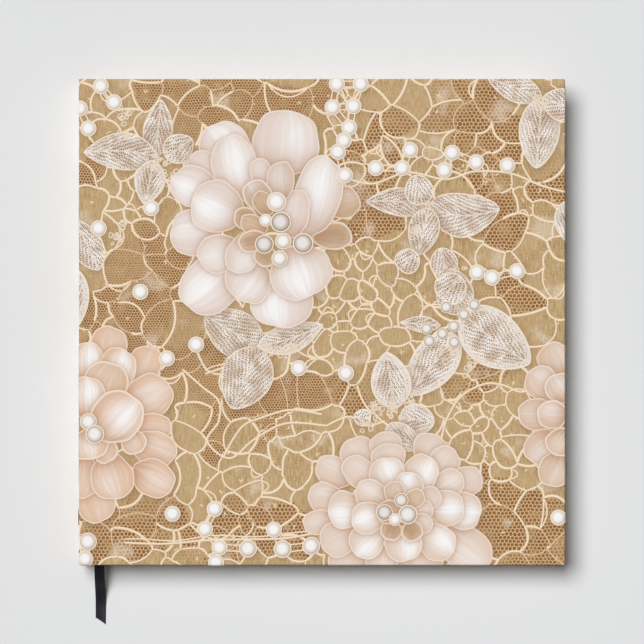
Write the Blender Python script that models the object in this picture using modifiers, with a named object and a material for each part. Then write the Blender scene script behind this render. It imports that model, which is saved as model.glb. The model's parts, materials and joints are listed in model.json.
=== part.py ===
"""A square case-bound guest book, lying shut on its back cover.

Run it with blender --background --python part.py, or from Blender's text editor. It works in
metres with +Z up: the spine is towards -X, the head towards +Y, and the front cover faces +Z.
The origin is on the table under the middle of the covers.

The book is built in layers from the outside in: printed wrap, board, turned-in flap, pastedown,
then the block of pages. Layers that are glued together in the real book keep a small gap.
"""

import bmesh
import bpy
from mathutils import Matrix, Vector

# The whole book
COVER_SIDE = 0.2160
THICKNESS = 0.0205
SQUARE = 0.0030  # how far the covers stand out past the pages

# A cover, from the outside in
WRAP = 0.0003
COVER_BOARD = 0.0024
FLAP = 0.0003
PASTEDOWN = 0.00025
GLUE_GAP = 0.0002
TURN_IN = 0.0150  # how wide the flaps are that fold over the board
EDGE_ROUND = 0.0006

# The spine, from the outside in
SPINE_BOARD = 0.0020
LINER = 0.0003
MULL = 0.0003
MULL_FLANGE = 0.0280
MULL_SHORTER = 0.0160  # the spine cloth stops this far short of the covers' head and tail
THREAD = 0.0003
BAND_TAPE = 0.0003

# The pages
LEAF = 0.00025
LEAF_GAP = 0.00015
FRONT_LEAVES = ("front_flyleaf", "front_leaf_1", "front_leaf_2", "front_leaf_3", "front_leaf_4")
BACK_LEAVES = ("back_flyleaf", "back_leaf_1", "back_leaf_2")
SIGNATURES = 6
FOLD_ROUND = 0.0005
TURN_REACH = 0.0043  # a leaf's turning axis stands this far in from the fold of the pages

# Sewing, bands and ribbon
SEWING_STATIONS = 5
SEWING_SPACING = 0.0420
BAND_RADIUS = 0.0008
BAND_TAPE_LENGTH = 0.0080
RIBBON_WIDTH = 0.0045
RIBBON_THICK = 0.00025
RIBBON_X = -0.0996
RIBBON_TIP_SLANT = 0.0031  # how much further the right side of the cut end reaches

# Places worked out from the sizes above
SPINE_X = -COVER_SIDE / 2
EDGE = COVER_SIDE / 2
PAGE_EDGE = EDGE - SQUARE
FLAP_DEPTH = WRAP + GLUE_GAP + COVER_BOARD + GLUE_GAP
PASTEDOWN_DEPTH = FLAP_DEPTH + FLAP + GLUE_GAP * 0.75
BLOCK_DEPTH = PASTEDOWN_DEPTH + PASTEDOWN + GLUE_GAP
SPINE_BOARD_X = SPINE_X + WRAP + GLUE_GAP
LINER_X = SPINE_BOARD_X + SPINE_BOARD + GLUE_GAP
MULL_X = LINER_X + LINER + GLUE_GAP
SEWING_X = MULL_X + MULL + GLUE_GAP
FOLD_X = SEWING_X + THREAD + 2 * GLUE_GAP
LEAF_ROOT_X = FOLD_X + 2 * TURN_REACH
LEAF_AXIS_X = FOLD_X + TURN_REACH
BLOCK_BOTTOM = BLOCK_DEPTH
BLOCK_TOP = THICKNESS - BLOCK_DEPTH
SIGNATURES_TOP = BLOCK_TOP - len(FRONT_LEAVES) * (LEAF + LEAF_GAP)
SIGNATURES_BOTTOM = BLOCK_BOTTOM + len(BACK_LEAVES) * (LEAF + LEAF_GAP)
RIBBON_SLOT = RIBBON_THICK + 2 * LEAF_GAP
RIBBON_Z = (SIGNATURES_TOP + SIGNATURES_BOTTOM) / 2

# The free tail of the ribbon as (y, z): out of the pages, over the back cover and down to the table
RIBBON_TAIL_ROUTE = (
    (-0.1052, RIBBON_Z),
    (-0.1090, RIBBON_Z - 0.0002),
    (-0.1130, RIBBON_Z - 0.0012),
    (-0.1170, RIBBON_Z - 0.0034),
    (-0.1205, RIBBON_Z - 0.0062),
    (-0.1240, RIBBON_Z - 0.0082),
    (-0.1280, 0.00060),
    (-0.1345, 0.00035),
)
RIBBON_TAIL_STEPS = 24

OVERCUT = 0.0010  # how far a cutter runs past what it cuts
STEP = 0.0001  # how far apart the floors of two cuts are, where they would lie in one plane


def collection(name):
    """A new collection in the scene."""
    made = bpy.data.collections.new(name)
    bpy.context.scene.collection.children.link(made)
    return made


def material(name, colour, roughness):
    """A Principled material with one colour."""
    made = bpy.data.materials.new(name)
    made.use_nodes = True
    shader = made.node_tree.nodes["Principled BSDF"]
    shader.inputs["Base Color"].default_value = (*colour, 1.0)
    shader.inputs["Roughness"].default_value = roughness
    shader.inputs["Metallic"].default_value = 0.0
    made.diffuse_color = (*colour, 1.0)
    return made


def place(obj, centre, parent=None):
    """Puts an object in the book at a world position, under its hinge if it has one."""
    obj.location = centre
    if parent:
        obj.parent = parent
        obj.location = Vector(centre) - parent.location
    return obj


def box_mesh(name, size):
    """A box mesh of the given size around its own origin."""
    work = bmesh.new()
    bmesh.ops.create_cube(work, size=1.0, matrix=Matrix.Diagonal((*size, 1.0)))
    mesh = bpy.data.meshes.new(name)
    work.to_mesh(mesh)
    work.free()
    return mesh


def box(name, x, y, z, look, parent=None):
    """A box that fills three spans, each (low, high), in the book."""
    size = [high - low for low, high in (x, y, z)]
    centre = [(high + low) / 2 for low, high in (x, y, z)]
    obj = bpy.data.objects.new(name, box_mesh(name, size))
    book.objects.link(obj)
    obj.data.materials.append(look)
    return place(obj, centre, parent)


def cutter(name, x, y, z):
    """A helper box, left out of the book, that a Boolean cuts away or joins on."""
    size = [high - low for low, high in (x, y, z)]
    obj = bpy.data.objects.new(name, box_mesh(name, size))
    helpers.objects.link(obj)
    obj.hide_render = True
    obj.display_type = "WIRE"
    return place(obj, [(high + low) / 2 for low, high in (x, y, z)])


def boolean(obj, other, operation="DIFFERENCE"):
    """Cuts another object away from this one, or joins it on."""
    modifier = obj.modifiers.new(other.name, "BOOLEAN")
    modifier.operation = operation
    modifier.object = other


def round_edges(obj, radius, chosen, segments=3):
    """Rounds the edges whose two local end points satisfy chosen."""
    work = bmesh.new()
    work.from_mesh(obj.data)
    edges = [e for e in work.edges if chosen(e.verts[0].co, e.verts[1].co)]
    bmesh.ops.bevel(work, geom=edges, offset=radius, segments=segments, profile=0.5, affect="EDGES")
    work.to_mesh(obj.data)
    work.free()


def hinge(name, x, z):
    """An empty on a turning axis, which runs along Y."""
    empty = bpy.data.objects.new(name, None)
    empty.empty_display_size = 0.02
    empty.location = (x, 0.0, z)
    book.objects.link(empty)
    return empty


def depth_span(side, shallow, deep):
    """The heights of a layer given by its depths below the outside of the front or back cover."""
    if side == "front":
        return THICKNESS - deep, THICKNESS - shallow
    return shallow, deep


def both_ways(reach):
    """A span that reaches as far to each side of the middle."""
    return -reach, reach


def build_cover(side):
    """One cover: printed wrap, board, spine cloth flange and pastedown, all on its hinge."""
    axis = hinge(f"{side}_cover_hinge", SPINE_X, THICKNESS if side == "front" else 0.0)
    build_cover_wrap(side, axis)
    board_depths = depth_span(side, WRAP + GLUE_GAP, WRAP + GLUE_GAP + COVER_BOARD)
    inside = EDGE - WRAP - GLUE_GAP
    board = box(f"{side}_board", (SPINE_BOARD_X, inside), both_ways(inside), board_depths, greyboard, axis)
    round_edges(board, EDGE_ROUND / 2, lambda a, b: min(a.x, b.x) > 0, segments=1)
    box(
        f"{side}_mull_flange",
        (FOLD_X + 0.002, FOLD_X + 0.002 + MULL_FLANGE),
        both_ways(EDGE - MULL_SHORTER),
        depth_span(side, FLAP_DEPTH, FLAP_DEPTH + FLAP),
        cloth,
        axis,
    )
    box(
        f"{side}_pastedown",
        (FOLD_X, PAGE_EDGE),
        both_ways(PAGE_EDGE),
        depth_span(side, PASTEDOWN_DEPTH, PASTEDOWN_DEPTH + PASTEDOWN),
        endpaper,
        axis,
    )


def build_cover_wrap(side, axis):
    """The printed skin of a cover: its face, three edges, and the flaps turned in over the board."""
    wrap = box(
        f"{side}_cover_wrap",
        (SPINE_X, EDGE),
        both_ways(EDGE),
        depth_span(side, 0.0, FLAP_DEPTH + FLAP),
        printed,
        axis,
    )
    round_edges(wrap, EDGE_ROUND, lambda a, b: max(a.x, b.x) > 0)
    boolean(
        wrap,
        cutter(
            f"{side}_board_pocket",
            (SPINE_X - OVERCUT, EDGE - WRAP),
            both_ways(EDGE - WRAP),
            depth_span(side, WRAP, FLAP_DEPTH),
        ),
    )
    boolean(
        wrap,
        cutter(
            f"{side}_flap_window",
            (SPINE_X - OVERCUT, EDGE - TURN_IN),
            both_ways(EDGE - TURN_IN),
            depth_span(side, FLAP_DEPTH - OVERCUT, FLAP_DEPTH + OVERCUT),
        ),
    )
    boolean(
        wrap,
        cutter(
            f"{side}_spine_clearance",
            (SPINE_X - OVERCUT, SPINE_BOARD_X),
            both_ways(EDGE + OVERCUT),
            depth_span(side, WRAP + STEP, FLAP_DEPTH + OVERCUT),
        ),
    )


def build_spine_wrap():
    """The printed skin of the spine, turned in over the ends of the spine board."""
    inner_x = LINER_X + LINER
    low, high = WRAP + GLUE_GAP, THICKNESS - WRAP - GLUE_GAP
    wrap = box("spine_wrap", (SPINE_X, inner_x), both_ways(EDGE), (low, high), printed)
    cuts = {
        "spine_pocket": ((SPINE_X + WRAP, LINER_X), both_ways(EDGE - WRAP), (low - OVERCUT, high + OVERCUT)),
        "spine_window": (
            (LINER_X - OVERCUT, inner_x + OVERCUT),
            both_ways(EDGE - TURN_IN),
            (low - OVERCUT, high + OVERCUT),
        ),
        "back_cover_room": (
            (SPINE_X + WRAP + STEP, inner_x + OVERCUT),
            both_ways(EDGE + OVERCUT),
            (low - OVERCUT, BLOCK_BOTTOM),
        ),
        "front_cover_room": (
            (SPINE_X + WRAP + STEP, inner_x + OVERCUT),
            both_ways(EDGE + OVERCUT),
            (BLOCK_TOP, high + OVERCUT),
        ),
    }
    for name, spans in cuts.items():
        boolean(wrap, cutter(name, *spans))


def build_spine():
    """The spine: wrap, stiff board, paper liner and the open-weave cloth glued to the folds."""
    build_spine_wrap()
    block = (BLOCK_BOTTOM, BLOCK_TOP)
    inside = EDGE - WRAP - GLUE_GAP
    box("spine_board", (SPINE_BOARD_X, SPINE_BOARD_X + SPINE_BOARD), both_ways(inside), block, greyboard)
    liner_reach = EDGE - TURN_IN - GLUE_GAP
    box("spine_liner", (LINER_X, LINER_X + LINER), both_ways(liner_reach), block, kraft)
    box("spine_mull", (MULL_X, MULL_X + MULL), both_ways(EDGE - MULL_SHORTER), block, cloth)


def build_signatures():
    """The sewn sections of pages, each folded round at the spine, with room for the ribbon."""
    gaps = (SIGNATURES - 2) * LEAF_GAP + RIBBON_SLOT
    thick = (SIGNATURES_TOP - SIGNATURES_BOTTOM - gaps) / SIGNATURES
    bottom = SIGNATURES_BOTTOM
    for number in range(1, SIGNATURES + 1):
        section = box(
            f"signature_{number}",
            (FOLD_X, PAGE_EDGE),
            both_ways(PAGE_EDGE),
            (bottom, bottom + thick),
            paper,
        )
        round_edges(section, FOLD_ROUND, lambda a, b: a.x < 0 and b.x < 0 and abs(a.y - b.y) > PAGE_EDGE)
        bottom += thick + (RIBBON_SLOT if number == SIGNATURES // 2 else LEAF_GAP)


def build_leaves(side, names):
    """The leaves that turn with a cover, and the bound strip that holds them at the fold."""
    axis_z = THICKNESS if side == "front" else 0.0
    pitch = LEAF + LEAF_GAP
    for number, name in enumerate(names):
        depth = BLOCK_DEPTH + number * pitch
        box(
            name,
            (LEAF_ROOT_X, PAGE_EDGE),
            both_ways(PAGE_EDGE),
            depth_span(side, depth, depth + LEAF),
            endpaper if "flyleaf" in name else paper,
            hinge(f"{name}_axis", LEAF_AXIS_X, axis_z),
        )
    deepest = BLOCK_DEPTH + len(names) * pitch - LEAF_GAP
    box(
        f"{side}_leaf_stubs",
        (FOLD_X, LEAF_ROOT_X - 2 * LEAF_GAP),
        both_ways(PAGE_EDGE),
        depth_span(side, BLOCK_DEPTH, deepest),
        paper,
    )


def build_band(name, end):
    """A band at the head (end 1) or tail (end -1): a round bead on a tape glued to the folds."""
    bead_y = end * (PAGE_EDGE + GLUE_GAP + BAND_RADIUS)
    bead_x = SEWING_X + BAND_TAPE / 2 + BAND_RADIUS
    bead_length = BLOCK_TOP - BLOCK_BOTTOM - 2 * GLUE_GAP
    work = bmesh.new()
    bmesh.ops.create_cone(
        work, cap_ends=True, segments=16, radius1=BAND_RADIUS, radius2=BAND_RADIUS, depth=bead_length
    )
    mesh = bpy.data.meshes.new(name)
    work.to_mesh(mesh)
    work.free()
    band = bpy.data.objects.new(name, mesh)
    book.objects.link(band)
    band.data.materials.append(silk)
    place(band, (bead_x, bead_y, (BLOCK_TOP + BLOCK_BOTTOM) / 2))
    tape_y = sorted((bead_y, end * (PAGE_EDGE - BAND_TAPE_LENGTH)))
    tape_z = (BLOCK_BOTTOM + 2 * GLUE_GAP, BLOCK_TOP - 2 * GLUE_GAP)
    boolean(band, cutter(f"{name}_tape", (SEWING_X, SEWING_X + BAND_TAPE), tape_y, tape_z), "UNION")


def build_sewing():
    """One link thread across the folds at each sewing station."""
    for number in range(SEWING_STATIONS):
        name = f"sewing_thread_{number + 1}"
        y = (number - (SEWING_STATIONS - 1) / 2) * SEWING_SPACING
        curve = bpy.data.curves.new(name, "CURVE")
        curve.dimensions = "3D"
        curve.bevel_depth = THREAD / 2
        curve.bevel_resolution = 2
        curve.use_fill_caps = True
        spline = curve.splines.new("POLY")
        spline.points.add(1)
        for point, z in zip(spline.points, (SIGNATURES_BOTTOM, SIGNATURES_TOP)):
            point.co = (0.0, 0.0, z, 1.0)
        thread = bpy.data.objects.new(name, curve)
        book.objects.link(thread)
        curve.materials.append(silk)
        place(thread, (SEWING_X + THREAD / 2, y, 0.0))


def smooth_route(points, steps):
    """Points along a Catmull-Rom curve through (y, z) points."""
    ends = [points[0], *points, points[-1]]
    route = []
    for step in range(steps + 1):
        along = step / steps * (len(points) - 1)
        piece = min(int(along), len(points) - 2)
        t = along - piece
        a, b, c, d = (Vector(p) for p in ends[piece : piece + 4])
        route.append(0.5 * (2 * b + (c - a) * t + (2 * a - 5 * b + 4 * c - d) * t**2 + (3 * b - a - 3 * c + d) * t**3))
    return route


def build_ribbon_tail():
    """The free end of the ribbon, a flat strip that droops to the table and ends in a slanting cut."""
    route = smooth_route(RIBBON_TAIL_ROUTE, RIBBON_TAIL_STEPS)
    work = bmesh.new()
    rows = []
    for number, (y, z) in enumerate(route):
        slant = RIBBON_TIP_SLANT / 2 * (number / RIBBON_TAIL_STEPS) ** 6
        left = work.verts.new((-RIBBON_WIDTH / 2, y + slant, z))
        right = work.verts.new((RIBBON_WIDTH / 2, y - slant, z))
        rows.append((left, right))
    for (a, b), (c, d) in zip(rows, rows[1:]):
        work.faces.new((a, c, d, b))
    mesh = bpy.data.meshes.new("ribbon_tail")
    work.to_mesh(mesh)
    work.free()
    tail = bpy.data.objects.new("ribbon_tail", mesh)
    book.objects.link(tail)
    mesh.materials.append(satin)
    place(tail, (RIBBON_X, 0.0, 0.0))
    solid = tail.modifiers.new("thickness", "SOLIDIFY")
    solid.thickness = RIBBON_THICK
    solid.offset = 0.0


def build_ribbon():
    """The ribbon bookmark: glued to the spine folds, run between two sections, and its free tail."""
    half_thick, half_wide = RIBBON_THICK / 2, RIBBON_WIDTH / 2
    box(
        "ribbon_anchor",
        (SEWING_X, SEWING_X + RIBBON_THICK),
        (EDGE - 0.0210, EDGE - 0.0118),
        (RIBBON_Z - half_wide, RIBBON_Z + half_wide),
        satin,
    )
    box(
        "ribbon_marker",
        (RIBBON_X - half_wide, RIBBON_X + half_wide),
        (RIBBON_TAIL_ROUTE[0][0] + GLUE_GAP + LEAF_GAP, PAGE_EDGE + SQUARE / 2),
        (RIBBON_Z - half_thick, RIBBON_Z + half_thick),
        satin,
    )
    build_ribbon_tail()


for old in list(bpy.data.objects):
    bpy.data.objects.remove(old)
book = collection("guest_book")
helpers = collection("helpers")
printed = material("printed_wrap", (0.69, 0.50, 0.30), 0.45)
greyboard = material("greyboard", (0.42, 0.38, 0.33), 0.9)
endpaper = material("endpaper", (0.86, 0.80, 0.70), 0.75)
paper = material("page_paper", (0.93, 0.91, 0.86), 0.8)
kraft = material("kraft_paper", (0.55, 0.40, 0.25), 0.85)
cloth = material("mull_cloth", (0.85, 0.83, 0.78), 0.9)
silk = material("silk_thread", (0.80, 0.66, 0.45), 0.5)
satin = material("ribbon_satin", (0.015, 0.014, 0.025), 0.35)

build_cover("front")
build_cover("back")
build_spine()
build_leaves("front", FRONT_LEAVES)
build_signatures()
build_leaves("back", BACK_LEAVES)
build_band("head_band", 1)
build_band("tail_band", -1)
build_sewing()
build_ribbon()
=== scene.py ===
"""The looks of a square wedding guest book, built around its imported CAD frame.

The cover print is drawn flat, in millimetres from the middle of a cover, with +x towards the
fore-edge and +y towards the head: a net and linen ground, lace cords, lace leaves, flowers and
pearls, each a thin layer of mesh. It is then wrapped over the covers and the spine.
Everything else is in metres, in the frame's own axes.
"""

import json
import math
import random

import bmesh
import bpy
import numpy as np
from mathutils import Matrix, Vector
from mathutils.geometry import delaunay_2d_cdt


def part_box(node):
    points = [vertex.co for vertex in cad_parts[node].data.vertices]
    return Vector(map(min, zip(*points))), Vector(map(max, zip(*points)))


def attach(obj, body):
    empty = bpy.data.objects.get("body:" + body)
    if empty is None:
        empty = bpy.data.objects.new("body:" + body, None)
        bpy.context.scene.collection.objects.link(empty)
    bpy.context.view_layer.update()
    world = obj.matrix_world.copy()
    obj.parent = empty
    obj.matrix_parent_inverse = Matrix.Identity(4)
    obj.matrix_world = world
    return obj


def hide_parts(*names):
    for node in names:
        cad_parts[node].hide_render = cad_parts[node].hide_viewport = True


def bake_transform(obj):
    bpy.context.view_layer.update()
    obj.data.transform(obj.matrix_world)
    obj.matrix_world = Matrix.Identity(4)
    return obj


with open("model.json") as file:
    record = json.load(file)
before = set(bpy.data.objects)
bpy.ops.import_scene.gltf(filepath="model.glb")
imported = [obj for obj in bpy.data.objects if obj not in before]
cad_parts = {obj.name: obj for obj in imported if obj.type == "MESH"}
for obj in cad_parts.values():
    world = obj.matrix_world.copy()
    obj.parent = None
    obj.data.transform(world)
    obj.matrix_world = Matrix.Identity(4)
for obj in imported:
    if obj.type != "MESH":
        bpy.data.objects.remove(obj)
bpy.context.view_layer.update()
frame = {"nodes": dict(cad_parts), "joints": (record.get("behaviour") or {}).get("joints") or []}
nodes = frame["nodes"]

MM = 0.001

# The covers and the spine, from the frame
front_low, front_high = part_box("front_cover_wrap")
TOP = front_high.z
HALF = (front_high.x - front_low.x) / 2
SPINE_X = front_low.x
SPINE_MM = TOP / MM
HALF_MM = HALF / MM
FLAP_MM = (front_high.z - front_low.z) / MM

# How the print wraps: it follows the rounded edges down to just short of the flap's inside
ROUND_MM = 0.6
ARC_MM = ROUND_MM * math.pi / 2
BLEED_MM = ARC_MM - ROUND_MM + FLAP_MM - ROUND_MM - 0.05

# The print's layers, as heights above the wrap in millimetres
GROUND_LEVEL = 0.020
CORD_LEVEL = 0.040
LEAF_LEVEL = 0.075
LEAF_STEP = 0.0006
PETAL_LEVEL = 0.095
PETAL_STEP = 0.00312
PEARL_LEVEL = 0.235
PEARL_STEP = 0.003


def srgb(red, green, blue):
    """A linear colour from 8-bit screen values."""
    parts = [c / 255 for c in (red, green, blue)]
    return tuple(c / 12.92 if c <= 0.04045 else ((c + 0.055) / 1.055) ** 2.4 for c in parts)


def new_object(name, mesh):
    """An object for this mesh, in the scene."""
    obj = bpy.data.objects.new(name, mesh)
    bpy.context.scene.collection.objects.link(obj)
    return obj


def solid_mesh(name, points, faces, carried):
    """A closed mesh with its faces turned outwards; the attribute flat holds what points carry."""
    mesh = bpy.data.meshes.new(name)
    mesh.from_pydata([tuple(p) for p in points], [], faces)
    data = mesh.attributes.new("flat", "FLOAT_VECTOR", "POINT").data
    data.foreach_set("vector", np.array(carried, np.float32).ravel())
    work = bmesh.new()
    work.from_mesh(mesh)
    bmesh.ops.recalc_face_normals(work, faces=work.faces)
    work.to_mesh(mesh)
    work.free()
    return mesh


def smooth_route(points, steps):
    """Points along a Catmull-Rom curve through the given points."""
    ends = [points[0], *points, points[-1]]
    route = []
    for step in range(steps + 1):
        along = step / steps * (len(points) - 1)
        piece = min(int(along), len(points) - 2)
        t = along - piece
        a, b, c, d = (Vector(p) for p in ends[piece : piece + 4])
        square = 2 * a - 5 * b + 4 * c - d
        cube = 3 * b - a - 3 * c + d
        route.append(0.5 * (2 * b + (c - a) * t + square * t**2 + cube * t**3))
    return route


# ---------------------------------------------------------------- node helpers


class Nodes:
    """Short calls for building one material's node tree."""

    def __init__(self, name, roughness=0.5, specular=0.3):
        self.material = bpy.data.materials.new(name)
        self.material.use_nodes = True
        self.tree = self.material.node_tree
        self.shader = self.tree.nodes["Principled BSDF"]
        self.shader.inputs["Roughness"].default_value = roughness
        self.shader.inputs["Specular IOR Level"].default_value = specular

    def put(self, node, socket, value):
        """Sets a socket to a number, vector or 8-bit colour, or links it to a node's output."""
        target = node.inputs[socket]
        if isinstance(value, bpy.types.NodeSocket):
            self.tree.links.new(value, target)
        elif isinstance(value, tuple) and len(target.default_value) == 4:
            target.default_value = (*srgb(*value), 1.0)
        else:
            target.default_value = value

    def math(self, operation, a, b=0.0, c=0.0, clamp=False):
        node = self.tree.nodes.new("ShaderNodeMath")
        node.operation = operation
        node.use_clamp = clamp
        for socket, value in enumerate((a, b, c)):
            self.put(node, socket, value)
        return node.outputs[0]

    def times(self, value, *others):
        """The product of all these values."""
        for other in others:
            value = self.math("MULTIPLY", value, other)
        return value

    def plus(self, value, *others):
        """The sum of all these values."""
        for other in others:
            value = self.math("ADD", value, other)
        return value

    def size(self, value):
        """A value without its sign."""
        return self.math("ABSOLUTE", value)

    def sine(self, value, rate):
        return self.math("SINE", self.times(value, rate))

    def bell(self, value, middle, spread):
        """1 at the middle, falling softly to 0 on both sides."""
        off = self.math("DIVIDE", self.math("SUBTRACT", value, middle), spread)
        return self.math("EXPONENT", self.times(off, off, -1.0))

    def vector(self, operation, a, b=(0.0, 0.0, 0.0)):
        node = self.tree.nodes.new("ShaderNodeVectorMath")
        node.operation = operation
        self.put(node, 0, a)
        if operation == "SCALE":
            self.put(node, "Scale", b)
        else:
            self.put(node, 1, b)
        return node.outputs["Value" if operation in ("LENGTH", "DISTANCE", "DOT_PRODUCT") else "Vector"]

    def attribute(self, name, output="Vector"):
        node = self.tree.nodes.new("ShaderNodeAttribute")
        node.attribute_name = name
        return node.outputs[output]

    def split(self, value):
        node = self.tree.nodes.new("ShaderNodeSeparateXYZ")
        self.put(node, 0, value)
        return node.outputs

    def join(self, x, y, z=0.0):
        node = self.tree.nodes.new("ShaderNodeCombineXYZ")
        for socket, value in enumerate((x, y, z)):
            self.put(node, socket, value)
        return node.outputs[0]

    def mix(self, factor, a, b, blend="MIX"):
        node = self.tree.nodes.new("ShaderNodeMix")
        node.data_type = "RGBA"
        node.blend_type = blend
        self.put(node, 0, factor)
        self.put(node, 6, a)
        self.put(node, 7, b)
        return node.outputs[2]

    def ramp(self, value, low, high, start=0.0, end=1.0):
        """start below low, end above high, and smooth in between."""
        node = self.tree.nodes.new("ShaderNodeMapRange")
        node.interpolation_type = "SMOOTHSTEP"
        for socket, number in enumerate((value, low, high, start, end)):
            self.put(node, socket, number)
        return node.outputs[0]

    def fall(self, value, low, high, start=1.0):
        """start below low, 0 above high, and smooth in between."""
        return self.ramp(value, low, high, start, 0.0)

    def noise(self, where, scale, detail=2.0, roughness=0.5):
        node = self.tree.nodes.new("ShaderNodeTexNoise")
        self.put(node, "Vector", where)
        self.put(node, "Scale", scale)
        self.put(node, "Detail", detail)
        self.put(node, "Roughness", roughness)
        return node.outputs["Fac"]

    def grain(self, where, rates, detail=2.0, roughness=0.5):
        """Noise with its own rate along each axis."""
        return self.noise(self.vector("MULTIPLY", where, rates), 1.0, detail, roughness)

    def cells(self, where, scale, feature="DISTANCE_TO_EDGE", randomness=0.6):
        node = self.tree.nodes.new("ShaderNodeTexVoronoi")
        node.feature = feature
        self.put(node, "Vector", where)
        self.put(node, "Scale", scale)
        self.put(node, "Randomness", randomness)
        return node.outputs["Distance"]

    def place(self):
        """Where a point is on its object, in metres."""
        node = self.tree.nodes.new("ShaderNodeTexCoord")
        return node.outputs["Object"]

    def bump(self, height, distance, strength=1.0):
        node = self.tree.nodes.new("ShaderNodeBump")
        self.put(node, "Height", height)
        self.put(node, "Distance", distance)
        self.put(node, "Strength", strength)
        self.put(self.shader, "Normal", node.outputs[0])

    def layered(self, base, *marks):
        """A base colour with marks mixed over it: (pattern, low, high, amount, colour) each."""
        made = base
        for pattern, low, high, amount, colour in marks:
            made = self.mix(self.ramp(pattern, low, high, 0.0, amount), made, colour)
        return made

    def colour(self, value):
        self.put(self.shader, "Base Color", value)
        return self.material


# ---------------------------------------------------------------- the flat drawing

CORD_TINT = srgb(250, 228, 197)
FAINT_CORD_TINT = srgb(226, 188, 142)
CORD_SHADOW_TINT = srgb(166, 126, 82)
STAR_TINT = srgb(238, 212, 174)
KNOT_TINT = srgb(238, 220, 199)
PEARL_TINT = srgb(247, 243, 238)
LEAF_TINT = srgb(222, 203, 184)
SHADE_REACH = 1.7
OUTLINE_POINTS = 48


class Layer:
    """One printed layer, gathered flat in millimetres.

    Each point carries: local (x, y and distance to the outline), shape (any three numbers that
    its material reads), tint (a colour) and shade (0 to 1).
    """

    def __init__(self):
        self.faces = []
        self.count = 0
        self.carried = {key: [] for key in ("points", "local", "shape", "tint", "shade")}

    def add(self, points, level, faces, local, shape, tint, shade=0.0):
        """Adds a patch: points (n, 2), faces as index tuples, and what each point carries."""
        size = len(points)
        self.faces.extend(tuple(self.count + i for i in face) for face in faces)
        self.carried["points"].append(np.column_stack([points, np.full(size, level)]))
        for key, values in (("local", local), ("shape", shape), ("tint", tint)):
            self.carried[key].append(np.broadcast_to(values, (size, 3)))
        self.carried["shade"].append(np.broadcast_to(shade, (size,)))
        self.count += size

    def mesh(self, name):
        """The flat mesh, its print position kept in the attribute flat."""
        carried = {key: np.concatenate(parts) for key, parts in self.carried.items()}
        points = carried.pop("points")
        shade = carried.pop("shade")
        mesh = bpy.data.meshes.new(name)
        mesh.from_pydata(points.tolist(), [], self.faces)
        for key, values in {"flat": points * (1, 1, 0), **carried}.items():
            data = mesh.attributes.new(key, "FLOAT_VECTOR", "POINT").data
            data.foreach_set("vector", values.astype(np.float32).ravel())
        data = mesh.attributes.new("shade", "FLOAT", "POINT").data
        data.foreach_set("value", shade.astype(np.float32))
        return mesh


def grid_faces(rows, columns):
    """Quads over a grid of rows x columns points, stored row by row, facing up."""
    return [
        (r * columns + c, r * columns + c + 1, (r + 1) * columns + c + 1, (r + 1) * columns + c)
        for r in range(rows - 1)
        for c in range(columns - 1)
    ]


def eased(count):
    """Steps from 0 to 1, closer together at both ends."""
    return 0.5 - 0.5 * np.cos(np.linspace(0, math.pi, count))


def circle(count, closed=False):
    """Points round a circle of radius 1; a closed one ends where it starts."""
    angle = np.linspace(0, 2 * math.pi, count, endpoint=closed)
    return np.column_stack([np.cos(angle), np.sin(angle)])


def sideways(step):
    """The direction at right angles to a step, on its left, with length 1."""
    return np.array([-step[1], step[0]]) / max(np.linalg.norm(step), 1e-9)


def away_from(points, outline):
    """How far each point is from a closed outline, negative inside it."""
    start = outline
    step = np.roll(outline, -1, axis=0) - start
    offset = points[:, None, :] - start[None]
    along = np.clip((offset * step).sum(2) / np.maximum((step**2).sum(1), 1e-12), 0, 1)
    distance = np.linalg.norm(offset - along[..., None] * step, axis=2).min(1)
    below = start[None, :, 1] > points[:, None, 1]
    crosses = below != np.roll(below, -1, axis=1)
    slope = step[None, :, 0] * (points[:, None, 1] - start[None, :, 1])
    reach = start[None, :, 0] + slope / np.where(step[None, :, 1] == 0, 1e-9, step[None, :, 1])
    inside = (crosses & (points[:, None, 0] < reach)).sum(1) % 2 == 1
    return np.where(inside, -distance, distance)


def turned(points, degrees):
    """Points turned anticlockwise about the origin."""
    angle = math.radians(degrees)
    c, s = math.cos(angle), math.sin(angle)
    return points @ np.array([[c, s], [-s, c]])


def shaded(points, motif, above):
    """How dark a motif's points are: most where the motifs above lie close over them."""
    shade = np.zeros(len(points))
    for other in above:
        if np.linalg.norm(other.centre - motif.centre) < motif.length + other.reach:
            gap = np.maximum(away_from(points, other.outline), 0)
            shade = np.maximum(shade, np.exp(-gap / SHADE_REACH))
    return shade


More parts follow.
